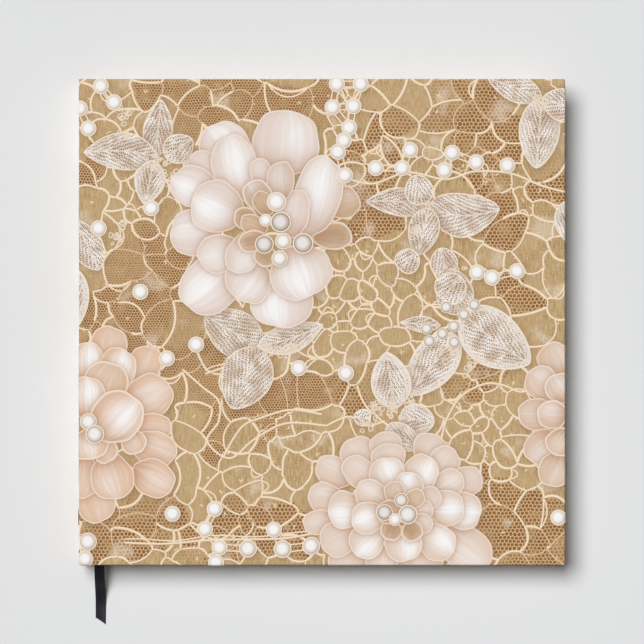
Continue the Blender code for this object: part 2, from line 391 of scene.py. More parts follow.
class Petal:
    """A rounded petal: its base at the flower's side and its tip away from it, on one axis."""

    ROWS = 31
    COLUMNS = 17
    RIPPLE = 0.042

    def __init__(self, centre, width, length, lean, tint, glow=0.8, rim=1.0, fullness=2.12, hollow=0.0):
        # lean is the direction from base to tip, in degrees anticlockwise from +y
        self.centre = np.array(centre, float)
        self.width = width
        self.length = length
        self.lean = lean
        self.tint = srgb(*tint)
        self.glow = glow
        self.rim = rim
        self.fullness = fullness
        self.hollow = hollow
        self.reach = max(width, length) / 2
        t = eased(OUTLINE_POINTS)
        right = np.column_stack([self.half_width(t), (t - 0.5) * length])
        self.plain_outline = np.concatenate([right, right[-2:0:-1] * (-1, 1)])
        self.outline = self.place(self.plain_outline)

    def half_width(self, t):
        """Half the petal's width at t, which runs from 0 at the base to 1 at the tip."""
        share = 1 - np.abs(2 * np.clip(t, 0, 1) ** 1.15 - 1) ** self.fullness
        return share ** (1 / self.fullness) * self.width / 2

    def place(self, local):
        """Local points on the cover, with the petal's outline gently waved."""
        x, y = local[:, 0] / (self.width / 2), local[:, 1] / (self.length / 2)
        angle = np.arctan2(y, x)
        phase = self.lean + self.width
        wave = 0.5 * np.sin(3 * angle + phase)
        wave += 0.45 * np.sin(5 * angle - phase)
        wave += 0.3 * np.sin(8 * angle + phase)
        waved = local * (1 + self.RIPPLE * wave * np.minimum(x**2 + y**2, 1))[:, None]
        return turned(waved, self.lean) + self.centre

    def draw(self, layer, level, above):
        """Adds the petal to its layer, shaded where the pieces above lie close over it."""
        u = np.sin(np.linspace(-math.pi / 2, math.pi / 2, self.COLUMNS))
        across, along = (grid.ravel() for grid in np.meshgrid(u, eased(self.ROWS)))
        local = np.column_stack([across * self.half_width(along), (along - 0.5) * self.length])
        edge = np.maximum(-away_from(local, self.plain_outline), 0)
        points = self.place(local)
        layer.add(
            points,
            level,
            grid_faces(self.ROWS, self.COLUMNS),
            np.column_stack([across, along, edge / self.rim]),
            (self.glow, self.hollow, self.lean / 360 + self.width / 10),
            self.tint,
            shaded(points, self, above),
        )


class Pearl:
    """A round pearl with its corded rim. Sunk pearls sit down in a ring and are greyer."""

    RINGS = (0.3, 0.55, 0.72, 0.84, 0.93, 1.0)
    SPOKES = 28

    def __init__(self, centre, radius, sunk=0.0):
        self.centre = np.array(centre, float)
        self.radius = self.reach = radius
        self.sunk = sunk
        self.outline = self.centre + radius * circle(24)

    def draw(self, layer, level):
        """Adds the pearl to its layer: a fan round the middle, then rings of quads."""
        local = np.concatenate([[(0.0, 0.0)], *(circle(self.SPOKES) * ring for ring in self.RINGS)])
        pairs = [(i, (i + 1) % self.SPOKES) for i in range(self.SPOKES)]
        faces = [(0, 1 + i, 1 + after) for i, after in pairs]
        for ring in range(len(self.RINGS) - 1):
            inner = 1 + ring * self.SPOKES
            outer = inner + self.SPOKES
            faces += [(inner + i, outer + i, outer + after, inner + after) for i, after in pairs]
        edge = (1 - np.linalg.norm(local, axis=1)) * self.radius
        carried = np.column_stack([local, edge])
        shape = (self.sunk, self.radius, 0.0)
        layer.add(self.centre + local * self.radius, level, faces, carried, shape, PEARL_TINT)


class Leaf:
    """A pointed lace leaf from a base to a tip, with a threaded filling and a beaded border."""

    ROWS = 25
    COLUMNS = 11

    def __init__(self, base, tip, width, border=0.0, bow=0.0, blunt=0.75):
        base, tip = np.array(base, float), np.array(tip, float)
        self.width = width
        self.border = border
        self.bow = bow
        self.blunt = blunt
        step = tip - base
        self.length = float(np.linalg.norm(step))
        self.reach = self.length / 2
        self.centre = (base + tip) / 2
        self.lean = math.degrees(math.atan2(-step[0], step[1]))
        t = eased(30)
        self.flat_outline = np.concatenate([self.bend(1, t), self.bend(-1, t)[-2:0:-1]])
        self.outline = self.place(self.flat_outline)

    def bend(self, across, along):
        """Local points from shares across (-1 to 1) and along (0 to 1) the bowed leaf."""
        half = np.sin(math.pi * np.clip(along, 0, 1) ** 0.85) ** self.blunt * self.width / 2
        x = across * half + self.bow * np.sin(math.pi * along)
        return np.column_stack([x, (along - 0.5) * self.length])

    def place(self, local):
        return turned(local, self.lean) + self.centre

    def draw(self, layer, level, above):
        """Adds the leaf to its layer, shaded where the pieces above lie close over it."""
        grids = np.meshgrid(eased(self.ROWS), np.linspace(-1, 1, self.COLUMNS), indexing="ij")
        along, across = (grid.ravel() for grid in grids)
        local = self.bend(across, along)
        edge = np.maximum(-away_from(local, self.flat_outline), 0)
        points = self.place(local)
        from_rib = local[:, 0] - self.bow * np.sin(math.pi * along)
        layer.add(
            points,
            level,
            grid_faces(self.ROWS, self.COLUMNS),
            np.column_stack([from_rib, local[:, 1], edge]),
            (self.border, 0.0, self.lean / 90),
            LEAF_TINT,
            shaded(points, self, above),
        )


def draw_cord(layer, line, width, level, tint=CORD_TINT):
    """A flat corded line through the points of a route, narrower at both ends."""
    line = np.asarray(line, float)
    step = np.gradient(line, axis=0)
    step /= np.maximum(np.linalg.norm(step, axis=1), 1e-9)[:, None]
    half = np.full(len(line), width / 2)
    half[[0, -1]] *= 0.55
    side = np.column_stack([-step[:, 1], step[:, 0]]) * half[:, None]
    points = np.stack([line - side, line, line + side], axis=1).reshape(-1, 2)
    run = np.concatenate([[0], np.cumsum(np.linalg.norm(np.diff(line, axis=0), axis=1))])
    across = np.tile([-1.0, 0.0, 1.0], len(line))
    local = np.column_stack([across, np.repeat(run, 3), np.zeros(len(points))])
    faces = [tuple(reversed(face)) for face in grid_faces(len(line), 3)]
    layer.add(points, level, faces, local, (width, 0.0, 0.0), tint)


# ---------------------------------------------------------------- flowers, leaves and pearls

BLUSH = (233, 214, 203)
PEACH = (231, 195, 166)
ROSE = (233, 210, 193)
TAN = (208, 176, 142)


def flower(centre, petals, tint, glow):
    """Petals round a centre, undermost first: (x, y, width, length, turn, what is different)."""
    made = []
    for x, y, width, length, turn, *rest in petals:
        looks = {"tint": tint, "glow": glow, **(rest[0] if rest else {})}
        lean = math.degrees(math.atan2(centre[0] - x, y - centre[1])) + turn
        made.append(Petal((x, y), width, length, lean, **looks))
    return made


PALE = {"glow": 1.25}
DULL = {"glow": 0.25}
HOLLOW = {"glow": 0.1, "hollow": 1.0, "rim": 1.6, "tint": TAN}
CURLED = {"hollow": 0.6, "rim": 1.7}

PALE_FLOWER = flower(
    (-19.0, 42.0),
    [
        (-16.2, 79.0, 30.0, 30.0, 2, {"fullness": 2.2}), (-42.0, 76.5, 22.0, 27.0, 8, PALE),
        (-51.4, 68.0, 15.0, 18.0, 0, DULL), (9.0, 53.0, 14.5, 16.0, -10, {"tint": TAN, "glow": 0.3}),
        (4.5, 38.2, 12.5, 18.0, 10, HOLLOW), (-56.5, 59.8, 18.5, 22.0, 0, PALE),
        (-56.5, 39.7, 21.0, 22.0, 0), (-49.4, 16.6, 25.0, 29.0, 0, PALE),
        (-17.8, 9.8, 28.0, 25.0, 0, PALE), (-38.3, 68.0, 21.0, 30.0, -22, PALE),
        (-46.4, 51.0, 23.5, 24.0, -8, PALE), (-45.8, 30.6, 17.5, 19.0, 0),
        (-32.4, 18.6, 21.0, 20.0, -8), (-9.6, 22.4, 28.5, 24.0, -8, PALE),
        (-27.0, 66.4, 10.0, 13.0, 0, DULL), (-35.0, 31.0, 14.5, 20.0, 30),
        (-2.0, 55.6, 21.0, 37.0, 38, PALE), (-12.0, 48.0, 13.0, 22.0, 40, DULL),
        (-18.4, 62.4, 12.6, 18.0, 0, {"tint": (222, 200, 184), "glow": 0.3}),
        (-28.6, 56.4, 13.0, 14.0, 0, {**CURLED, "tint": (214, 186, 160)}),
        (-26.0, 52.6, 9.0, 12.0, 0, {"tint": TAN, "glow": 0.1}), (-33.8, 46.0, 10.5, 11.0, 0, HOLLOW),
        (-30.2, 43.0, 9.0, 13.0, -20, {"tint": (216, 182, 150), "glow": 0.1}),
        (-30.8, 36.0, 10.0, 13.0, -10, {**HOLLOW, "tint": (214, 180, 148)}),
        (-25.2, 29.4, 10.0, 10.0, 0, HOLLOW),
    ],
    BLUSH,
    0.75,
)  # fmt: skip

PEACH_FLOWER = flower(
    (-104.0, -46.0),
    [
        (-94.8, -11.2, 16.5, 19.0, 12, DULL), (-104.7, -18.4, 16.0, 19.0, 0, PALE),
        (-79.3, -19.6, 15.0, 19.0, 14, DULL), (-91.3, -21.4, 17.0, 20.0, 12, PALE),
        (-77.6, -33.4, 19.5, 23.0, 0, {"glow": 0.55}),
        (-96.2, -27.6, 20.5, 20.0, 0, {"rim": 1.5, "tint": (226, 194, 164), "glow": 0.2}),
        (-75.4, -46.8, 13.0, 17.0, 0, DULL), (-74.8, -56.2, 16.0, 21.0, 0, {"glow": 0.35}),
        (-75.2, -69.2, 17.0, 20.0, 8, {"glow": 0.45}), (-100.6, -80.2, 17.5, 18.0, 10, DULL),
        (-106.6, -68.7, 15.0, 20.0, 0, DULL), (-93.4, -68.6, 19.5, 21.0, -8, {"glow": 0.5}),
        (-84.0, -53.0, 11.5, 12.0, -40, {"rim": 1.5, "glow": 0.3}),
        (-96.4, -57.2, 11.5, 11.0, 10, {"rim": 1.6, "glow": 0.3}), (-104.6, -33.6, 16.5, 19.0, 0, PALE),
        (-103.6, -54.2, 18.5, 14.0, 10, {"rim": 1.5, "glow": 0.7}),
        (-91.4, -42.4, 23.0, 24.5, 30, {"rim": 1.8, "glow": 1.1}),
    ],
    PEACH,
    0.7,
)  # fmt: skip

ROSE_FLOWER = flower(
    (33.6, -83.4),
    [
        (5.6, -66.8, 14.0, 18.0, 0, DULL), (16.2, -58.8, 16.0, 16.0, 0, DULL),
        (28.6, -56.0, 14.5, 15.0, 0, DULL), (48.6, -57.4, 18.0, 15.0, 0, DULL),
        (54.0, -62.4, 14.0, 15.0, 0, DULL), (63.6, -71.2, 14.0, 16.0, 0, DULL),
        (1.6, -78.0, 13.5, 16.0, 0, DULL), (-1.0, -88.9, 11.5, 15.0, 0, DULL),
        (12.4, -107.4, 19.0, 18.0, 0, DULL), (42.8, -108.0, 22.0, 17.0, 0, DULL),
        (26.7, -106.4, 14.5, 17.0, 0), (7.8, -96.0, 16.0, 18.0, 0, DULL),
        (63.4, -100.6, 20.0, 26.0, -6, {"glow": 0.6}), (62.4, -83.9, 17.0, 17.0, 0, PALE),
        (17.0, -67.2, 13.5, 18.0, 0, DULL), (29.6, -60.8, 15.5, 14.0, 0, DULL),
        (56.0, -71.8, 12.5, 15.0, 0), (10.6, -83.4, 17.0, 16.0, 0, PALE),
        (55.2, -82.8, 16.5, 16.0, 0, PALE), (43.4, -67.6, 16.0, 18.0, 0, PALE),
        (28.9, -67.6, 16.0, 15.0, 0, PALE), (20.3, -97.0, 15.5, 17.0, 0, PALE),
        (50.5, -97.4, 16.0, 19.0, 0, PALE), (36.1, -98.4, 17.0, 16.0, 0, PALE),
        (22.0, -76.8, 13.5, 15.0, 0), (20.8, -87.0, 14.5, 16.0, 0, PALE),
        (47.6, -78.2, 10.5, 11.0, 0, DULL), (38.7, -72.6, 12.5, 12.0, 0, PALE),
        (44.6, -83.6, 9.0, 10.0, 0, DULL), (44.4, -89.4, 9.0, 10.0, 0, DULL),
        (41.0, -78.6, 8.5, 10.0, 0, {"tint": (222, 192, 164), "glow": 0.1}),
        (32.4, -76.0, 9.5, 11.0, 0, {"tint": (222, 194, 170), "glow": 0.2}),
        (30.8, -92.4, 10.0, 9.5, 0, HOLLOW), (40.0, -92.8, 10.0, 9.5, 0, HOLLOW),
        (30.0, -84.4, 11.0, 12.0, 0, {"tint": (214, 184, 154), "glow": 0.1, "rim": 1.3}),
    ],
    ROSE,
    0.55,
)  # fmt: skip

EDGE_FLOWER = flower(
    (113.0, -41.0),
    [
        (103.6, -17.4, 15.0, 17.0, 0, DULL), (98.2, -27.6, 15.0, 17.0, 0),
        (95.6, -41.0, 14.5, 17.0, 0, DULL), (97.8, -55.2, 15.0, 17.0, 0),
        (103.6, -65.4, 15.0, 16.0, 0, DULL), (106.0, -29.6, 13.5, 14.0, 0, {"rim": 1.4}),
        (102.6, -41.2, 13.0, 14.0, 0, {"rim": 1.4}),
        (106.0, -53.2, 13.0, 13.0, 0, {"tint": (222, 190, 160), "rim": 1.4}),
    ],
    (226, 197, 173),
    0.5,
)  # fmt: skip

LEAVES = [
    Leaf((-74.2, 73.3), (-71.4, 99.0), 13.5),
    Leaf((-73.0, 73.6), (-106.0, 75.4), 17.0, bow=1.5),
    Leaf((-74.6, 72.0), (-78.8, 52.0), 14.0, border=0.6),
    Leaf((-69.6, 73.0), (-57.6, 81.6), 13.5, blunt=0.6),
    Leaf((-27.0, -12.0), (-52.0, 3.0), 21.0, blunt=0.6),
    Leaf((-27.6, -11.6), (-40.0, -38.6), 23.0, blunt=0.62),
    Leaf((-28.4, -10.8), (0.6, -1.2), 13.5, bow=1.2, border=0.6),
    Leaf((47.5, 50.7), (19.6, 53.6), 13.0, bow=1.4),
    Leaf((47.5, 50.7), (79.0, 50.2), 20.0, bow=3.2, blunt=0.62),
    Leaf((47.5, 50.7), (42.6, 29.6), 14.0, blunt=0.6),
    Leaf((44.6, 52.2), (41.4, 65.4), 13.0, blunt=0.5),
    Leaf((52.8, -1.6), (34.4, -0.2), 7.5, blunt=0.9),
    Leaf((55.6, 20.4), (52.6, 33.0), 12.5, blunt=0.5),
    Leaf((60.4, 3.0), (57.4, 24.0), 17.0, blunt=0.6),
    Leaf((59.6, -5.6), (38.4, -32.4), 20.0, border=1.0, blunt=0.6),
    Leaf((62.0, 4.4), (92.4, -18.6), 25.0, border=1.0, bow=1.2, blunt=0.62),
    Leaf((32.4, -38.6), (28.6, -13.2), 18.0, border=1.0, blunt=0.66),
    Leaf((34.4, -42.4), (50.0, -44.6), 14.5, border=0.6, blunt=0.5),
    Leaf((28.4, -46.4), (43.4, -56.2), 11.5, border=0.6, blunt=0.55),
    Leaf((21.8, -42.8), (14.2, -42.2), 8.0, blunt=0.4),
    Leaf((34.6, 23.0), (41.6, 31.4), 11.5, blunt=0.4),
    Leaf((53.0, 10.0), (61.8, 20.4), 15.0, blunt=0.45),
    Leaf((97.8, 99.6), (73.6, 108.6), 12.5),
    Leaf((97.8, 99.6), (95.2, 68.2), 18.5, blunt=0.62, border=0.6),
    Leaf((97.8, 99.6), (120.0, 92.0), 15.0),
    Leaf((-99.0, 23.0), (-110.0, 46.0), 14.0),
    Leaf((-108.4, 23.0), (-108.4, -2.0), 10.0, border=1.0),
    Leaf((108.6, 54.0), (108.6, 35.6), 11.0, border=0.6),
]

PEARL_SIZE = 3.6
PEARL_PLACES = [
    (-98.3, 104.8), (-92.4, 97.6), (-103.8, 86.0), (-75.9, 50.6), (-99.2, 41.6), (-107.6, 94.9),
    (6.6, 105.7), (17.2, 105.7), (4.7, 95.4), (14.0, 95.9), (12.1, 86.4), (9.7, 80.7), (7.1, 75.6),
    (23.9, 68.4), (10.2, 65.2), (35.6, 68.4), (39.2, 76.4), (57.8, 75.2), (54.4, 67.4), (68.6, 71.0),
    (82.4, 69.6), (68.9, 22.1), (75.6, 19.7), (86.7, 22.6), (-10.3, -20.5), (10.7, -22.7),
    (-80.7, 13.4), (-55.9, -10.0), (-68.9, -16.2), (-66.4, -85.2), (-47.7, -83.1), (-52.0, -92.0),
    (-45.5, -100.2), (-105.2, -105.2), (-21.4, -92.3), (105.0, -86.9), (-47.1, -106.9),
]  # fmt: skip
LARGE_PEARLS = [(-104.0, -97.6), (-32.9, -100.7), (-17.5, -100.9), (-4.8, -99.5)]
LARGE_PEARL_SIZE = 4.0
BEAD_SIZE = 2.7
BEAD_PLACES = [
    (55.2, 6.6), (67.7, 7.6), (63.1, 3.3), (46.5, -3.0), (58.6, -1.9), (53.5, -5.2), (47.7, -8.5),
    (58.8, -9.0),
]  # fmt: skip
HEART_PEARLS = [
    # x, y, radius, how sunk
    (-20.2, 53.4, 4.4, 0.0), (-25.0, 45.2, 2.9, 0.0), (-18.3, 44.4, 4.6, 1.0), (-25.6, 34.5, 4.2, 1.0),
    (-17.2, 35.9, 3.7, 0.2), (-8.4, 34.9, 4.6, 0.9), (-18.8, 28.2, 3.7, 0.2),
    (-103.8, -44.3, 3.8, 0.3), (-100.9, -49.9, 4.2, 0.5),
    (35.3, -79.2, 3.2, 0.8), (27.8, -84.7, 3.7, 1.0), (38.2, -85.6, 4.3, 0.6), (32.5, -87.8, 2.8, 0.0),
]  # fmt: skip

FLOWERS = (ROSE_FLOWER, PEACH_FLOWER, EDGE_FLOWER, PALE_FLOWER)
PEARLS = [
    *(Pearl(place, PEARL_SIZE) for place in PEARL_PLACES),
    *(Pearl(place, LARGE_PEARL_SIZE, 0.25) for place in LARGE_PEARLS),
    *(Pearl(place, BEAD_SIZE, 0.7) for place in BEAD_PLACES),
]
HEARTS = [Pearl((x, y), radius, sunk) for x, y, radius, sunk in HEART_PEARLS]


# ---------------------------------------------------------------- ground and lace cords

DRAWN_MM = HALF_MM + BLEED_MM + 0.6
CELL_SIZE = 10.8
CELL_SPREAD = 3.4
CELL_WARP = 2.8
CELL_TRIES = 26000
SHORTEST_WALL = 0.3
LONGEST_WALL = 30
SMALL_CELLS = [
    # x, y, radius, spacing
    (24, 8, 29, 7.2), (20, 12, 19, 5.8), (79, -47, 25, 7.8), (-19, -66, 21, 7.6), (-88, 50, 15, 7.8),
    (102, 30, 12, 7.6), (14, 82, 8, 6.4), (10, 98, 10, 6.8), (20, 69, 8, 6.2), (34, 70, 8, 6.2),
    (48, 70, 8, 6.2), (62, 71, 9, 6.6), (76, 68, 9, 6.8), (90, 63, 9, 7.0), (103, 58, 9, 7.2),
    (-78, -97, 9, 7.4), (-62, -96, 9, 7.0), (-46, -96, 10, 6.8), (-30, -97, 9, 6.8), (-14, -98, 9, 6.8),
    (-100, 92, 12, 8.0), (80, 20, 8, 6.8), (0, -22, 10, 7.2),
    (-98, 66, 12, 8.2), (-70, 44, 14, 7.6), (-44, 104, 8, 8.0), (52, 92, 12, 8.4),
]  # fmt: skip

CORD_WIDTHS = (0.7, 0.85, 0.95, 1.1)
FAINT_WIDTH = 0.5
ECHO_SHARE = 0.1
SHADOW_SHIFT = np.array([0.3, -0.3])
SHADOW_DROP = 0.016
PEARL_PULL = 6  # a cell corner nearer than this to a pearl moves to its middle
SPECK_SHARE = 0.34
PLAIN_SHARE = 0.08
FAINT_SHARE = 0.6

GROUND_PITCH = 1.2
NET_ZONES = [
    # x, y, radius
    (-79, 104, 8), (-51, 97, 15), (-30, 99, 13), (-4, 101, 11), (-106, 67, 8), (-73, 29, 15),
    (-76, 12, 19), (-99, 8, 9), (-55, 9, 10), (28, 80, 11), (63, 85, 13), (66, 103, 13), (83, 78, 12),
    (17, 77, 8),
    (26, 60, 9), (69, 63, 9), (78, 48, 12), (24, 44, 11), (83, 13, 9), (100, 60, 8), (-101, -1, 9),
    (-81, -7, 10), (-53, -17, 13), (-34, -41, 17), (-48, -58, 8), (-10, -30, 11), (-96, -94, 15),
    (-73, -92, 12), (-47, -92, 14), (-21, -92, 14), (4, -32, 9), (16, -30, 10), (69, -26, 9),
    (75, -72, 9), (90, -76, 8), (90, -90, 13), (95, -102, 16), (103, -86, 8),
]  # fmt: skip

STRAND_WIDTH = 0.85
STRANDS = [
    # doubled, route
    (True, [(-88, -98), (-70, -98.5), (-52, -97), (-33, -96.5), (-16, -96), (0, -93)]),
    (False, [(8, 65), (22, 61.5), (38, 66.5), (55, 63.5), (68, 67), (84, 66), (98, 60.5), (112, 57)]),
    (False, [(53, -52), (55.5, -43), (61.8, -33), (72, -27.5), (80.4, -28), (88, -31), (95, -29.5)]),
    (False, [(-62, -21), (-53, -29), (-46, -35), (-46, -44), (-51, -53), (-41, -60.5), (-30, -52),
             (-16, -45), (2, -46)]),
    (True, [(-52, -23), (-43, -20), (-34, -17.5)]),
    (False, [(-44, -60), (-36, -47), (-27, -42.5), (-14, -39), (0, -41)]),
    (False, [(2, -46), (12, -42), (20, -46), (28, -44)]),
]  # fmt: skip

LONGEST_STRING = 13.5
KNOT_LEVEL = 0.0916
KNOT_CLUSTERS = [
    # x, y, spread, how many
    (-71, 71, 5.0, 14), (-64, 65, 5.5, 14), (-61, 59, 4.0, 7), (-88, 92, 4.0, 9), (-87, 84, 3.5, 7),
    (-91, 37, 4.0, 9), (-88, 43, 3.0, 6), (31, -39, 5.5, 16), (24, -37, 4.5, 12), (22, -45, 4.5, 10),
    (40, -35, 4.0, 8), (47, 51, 3.5, 8), (42, 41, 3.0, 6), (-26, -12, 5.0, 12), (-18, -13, 5.0, 10),
    (-10, -12, 4.0, 7), (55, -13, 5.5, 10), (66, -21, 5.0, 9), (97, 98, 5.0, 12), (60, 21, 5.0, 8),
]  # fmt: skip


def drift(points, seed):
    """A slow wave over the cover, between about -1 and 1."""
    dice = random.Random(seed)
    total = np.zeros(len(points))
    for _ in range(5):
        turn = dice.uniform(0, 2 * math.pi)
        rate = 2 * math.pi / dice.uniform(45, 110)
        phase = dice.uniform(0, 2 * math.pi)
        total += np.sin(points @ np.array([math.cos(turn), math.sin(turn)]) * rate + phase)
    return total / 2.6


def cell_warp(points):
    """How far the cells' walls are pulled aside at these points."""
    return CELL_WARP * np.column_stack([drift(points * 2.6, 11), drift(points * 2.6, 12)])


def scatter_cells(dice):
    """Cell middles, further apart where the lace is open."""
    reach = DRAWN_MM + 12
    tries = np.array([dice.uniform(-reach, reach) for _ in range(2 * CELL_TRIES)]).reshape(-1, 2)
    room = CELL_SIZE + CELL_SPREAD * drift(tries, 5)
    for x, y, radius, spacing in SMALL_CELLS:
        inside = np.linalg.norm(tries - (x, y), axis=1) < radius
        room[inside] = spacing * (0.86 + 0.12 * drift(tries[inside], 8))
    kept = [0]
    for i in range(1, CELL_TRIES):
        gaps = np.linalg.norm(tries[kept] - tries[i], axis=1)
        if (gaps > (room[kept] + room[i]) / 2).all():
            kept.append(i)
    return tries[kept]


def cell_edges(seeds):
    """The walls between neighbouring cells: corners, and for each wall two corners and two cells."""
    _, _, triangles, originals, _, _ = delaunay_2d_cdt([Vector(s) for s in seeds], [], [], 0, 1e-6)
    corners = []
    shared = {}
    for number, triangle in enumerate(triangles):
        ids = [originals[v][0] for v in triangle]
        a, b, c = (seeds[i] for i in ids)
        matrix = 2 * np.array([b - a, c - a])
        corners.append(np.linalg.solve(matrix, [b @ b - a @ a, c @ c - a @ a]))
        for first, second in ((0, 1), (1, 2), (2, 0)):
            shared.setdefault(frozenset((ids[first], ids[second])), []).append(number)
    walls = [(*pair, *sorted(cells)) for cells, pair in shared.items() if len(pair) == 2]
    return np.array(corners), walls


def hidden(point, motifs, depth):
    """Whether a point lies deep under one of these motifs."""
    return any(
        np.linalg.norm(m.centre - point) < m.reach * 1.5 and away_from(point[None], m.outline)[0] < -depth
        for m in motifs
    )


def arc_line(start, end, bulge, pieces):
    """Points along a shallow curve that bows sideways by bulge."""
    t = np.linspace(0, 1, pieces + 1)[:, None]
    middle = (start + end) / 2 + sideways(end - start) * bulge * 2
    return (1 - t) ** 2 * start + 2 * t * (1 - t) * middle + t**2 * end


def cell_nets(dice, seeds):
    """How much of each cell is net, from 0 to 1."""
    net = np.zeros(len(seeds))
    for x, y, radius in NET_ZONES:
        gap = np.linalg.norm(seeds - (x, y), axis=1)
        net = np.maximum(net, np.clip(3.0 * (1 - gap / (radius * 1.3)), 0, 1))
    return np.where([dice.random() < PLAIN_SHARE for _ in seeds], 0.0, net)


def draw_shadowed(layer, line, width, level):
    """A cord with a thin dark edge below and to the right of it."""
    draw_cord(layer, line, width, level)
    draw_cord(layer, line + SHADOW_SHIFT, width, level - SHADOW_DROP, CORD_SHADOW_TINT)


def draw_wall(layer, dice, start, end, sign, netted):
    """One cord between two cells, sometimes with an echo beside it, and picots along it."""
    length = float(np.linalg.norm(end - start))
    bulge = sign * length * dice.uniform(0.04, 0.22)
    line = arc_line(start, end, bulge, max(3, int(length / 0.9)))
    level = CORD_LEVEL + dice.uniform(0, 0.02)
    width = dice.choice(CORD_WIDTHS)
    faint = netted and dice.random() < FAINT_SHARE
    if faint:
        draw_cord(layer, line, FAINT_WIDTH, level, FAINT_CORD_TINT)
    else:
        draw_shadowed(layer, line, width, level)
    if length > 5 and not faint and dice.random() < ECHO_SHARE:
        beside = bulge + math.copysign(dice.uniform(1.6, 2.8), bulge)
        draw_cord(layer, arc_line(start, end, beside, len(line) - 1), 0.65, level - 0.003)
    for _ in range(dice.choice((0, 0, 1, 1, 2)) if length > 3.5 else 0):
        spot = dice.randrange(1, len(line) - 1)
        draw_picot(layer, dice, line[spot], line[spot + 1] - line[spot - 1])


def draw_cells(layer, dice, seeds, nets, motifs, pearls):
    """The lace cords between the cells, bowed like scales."""
    corners, walls = cell_edges(seeds)
    corners = corners + cell_warp(corners)
    for pearl in pearls:
        gaps = np.linalg.norm(corners - pearl.centre, axis=1)
        if gaps.min() < PEARL_PULL:
            corners[gaps.argmin()] = pearl.centre
    rank = [dice.random() for _ in seeds]
    for first, second, cell, other in walls:
        start, end = corners[first], corners[second]
        middle = (start + end) / 2
        if not SHORTEST_WALL <= np.linalg.norm(end - start) <= LONGEST_WALL:
            continue
        if np.abs(middle).max() > DRAWN_MM + 6 or hidden(middle, motifs, 1.5):
            continue
        towards = (seeds[other] if rank[cell] > rank[other] else seeds[cell]) - middle
        step = end - start
        sign = np.sign(step[0] * towards[1] - step[1] * towards[0])
        draw_wall(layer, dice, start, end, sign, min(nets[cell], nets[other]) > 0.4)


def draw_picot(layer, dice, root, run):
    """A short thorn standing sideways from a cord."""
    side = sideways(run) * dice.choice((-1, 1))
    tip = root + side * dice.uniform(0.8, 1.5) + run * dice.uniform(-0.4, 0.4)
    draw_cord(layer, [root, (root + tip) / 2, tip], 0.42, CORD_LEVEL - 0.004)


def draw_specks(layer, dice, seeds, motifs):
    """Small star stitches in the middle of some cells."""
    for seed in seeds:
        if dice.random() > SPECK_SHARE or np.abs(seed).max() > DRAWN_MM or hidden(seed, motifs, -1.0):
            continue
        middle = seed + (dice.uniform(-1.2, 1.2), dice.uniform(-1.2, 1.2))
        for arm in range(dice.choice((3, 4, 5))):
            turn = dice.uniform(0, 2 * math.pi)
            tip = middle + dice.uniform(0.6, 1.5) * np.array([math.cos(turn), math.sin(turn)])
            level = CORD_LEVEL - 0.012 + 0.002 * arm
            draw_cord(layer, [middle, (middle + tip) / 2, tip], 0.5, level, STAR_TINT)


def draw_strings(layer, dice, pearls):
    """Pairs of cords that run from pearl to pearl."""
    strung = [pearl for pearl in pearls if pearl.radius > BEAD_SIZE]
    for number, pearl in enumerate(strung):
        for other in strung[number + 1 :]:
            step = other.centre - pearl.centre
            if not pearl.radius + other.radius < np.linalg.norm(step) < LONGEST_STRING:
                continue
            for sign in (-1, 1):
                shift = sideways(step) * sign * pearl.radius * 0.5
                line = arc_line(pearl.centre + shift, other.centre + shift, -sign * 0.5, 10)
                draw_cord(layer, line, 0.6, CORD_LEVEL + 0.021 + dice.uniform(0, 0.008))


def draw_strands(layer, dice):
    """Long free cords that run across the lace, some of them doubled."""
    for doubled, route in STRANDS:
        line = np.array([tuple(p) for p in smooth_route(route, 14 * (len(route) - 1))])
        level = CORD_LEVEL + 0.022 + dice.uniform(0, 0.008)
        draw_shadowed(layer, line, STRAND_WIDTH, level)
        if doubled:
            rise = 1.5 + 0.5 * np.sin(np.arange(len(line)) / 4)
            draw_cord(layer, line + np.column_stack([0 * rise, rise]), 0.6, level - 0.001)
        for spot in range(3, len(line) - 1, 7):
            draw_picot(layer, dice, line[spot], line[spot + 1] - line[spot - 1])


def draw_knots(layer, dice):
    """Clusters of small white loops, mostly where leaves meet."""
    for cluster, (x, y, spread, count) in enumerate(KNOT_CLUSTERS):
        for number in range(count):
            middle = (x + dice.gauss(0, spread / 2), y + dice.gauss(0, spread / 2))
            radius = dice.uniform(0.5, 1.4)
            ring = circle(13, closed=True) * (radius, radius * dice.uniform(0.6, 1.0))
            line = turned(ring, dice.uniform(0, 180)) + middle
            level = KNOT_LEVEL + 0.0002 * number + 0.00006 * (cluster % 3)
            draw_cord(layer, line, 0.55, level, KNOT_TINT)


def draw_ground(layer, seeds, nets, motifs):
    """The cloth under the lace: plain linen, or net in some cells, darker beside the motifs."""
    count = int(2 * DRAWN_MM / GROUND_PITCH) + 2
    axis = np.linspace(-DRAWN_MM, DRAWN_MM, count)
    points = np.stack(np.meshgrid(axis, axis), axis=-1).reshape(-1, 2)
    warped = points - cell_warp(points)
    net = np.array([nets[np.linalg.norm(seeds - p, axis=1).argmin()] for p in warped])
    shade = np.zeros(len(points))
    for motif in motifs:
        close = np.linalg.norm(points - motif.centre, axis=1) < motif.reach * 1.3 + 6
        gap = away_from(points[close] - (0.7, -0.7), motif.outline)
        shade[close] = np.maximum(shade[close], np.exp(-np.maximum(gap, 0) / 1.2))
    shape = np.column_stack([net, 0 * net, 0 * net])
    plain = (0.0, 0.0, 0.0)
    layer.add(points, GROUND_LEVEL, grid_faces(count, count), plain, shape, plain, shade)


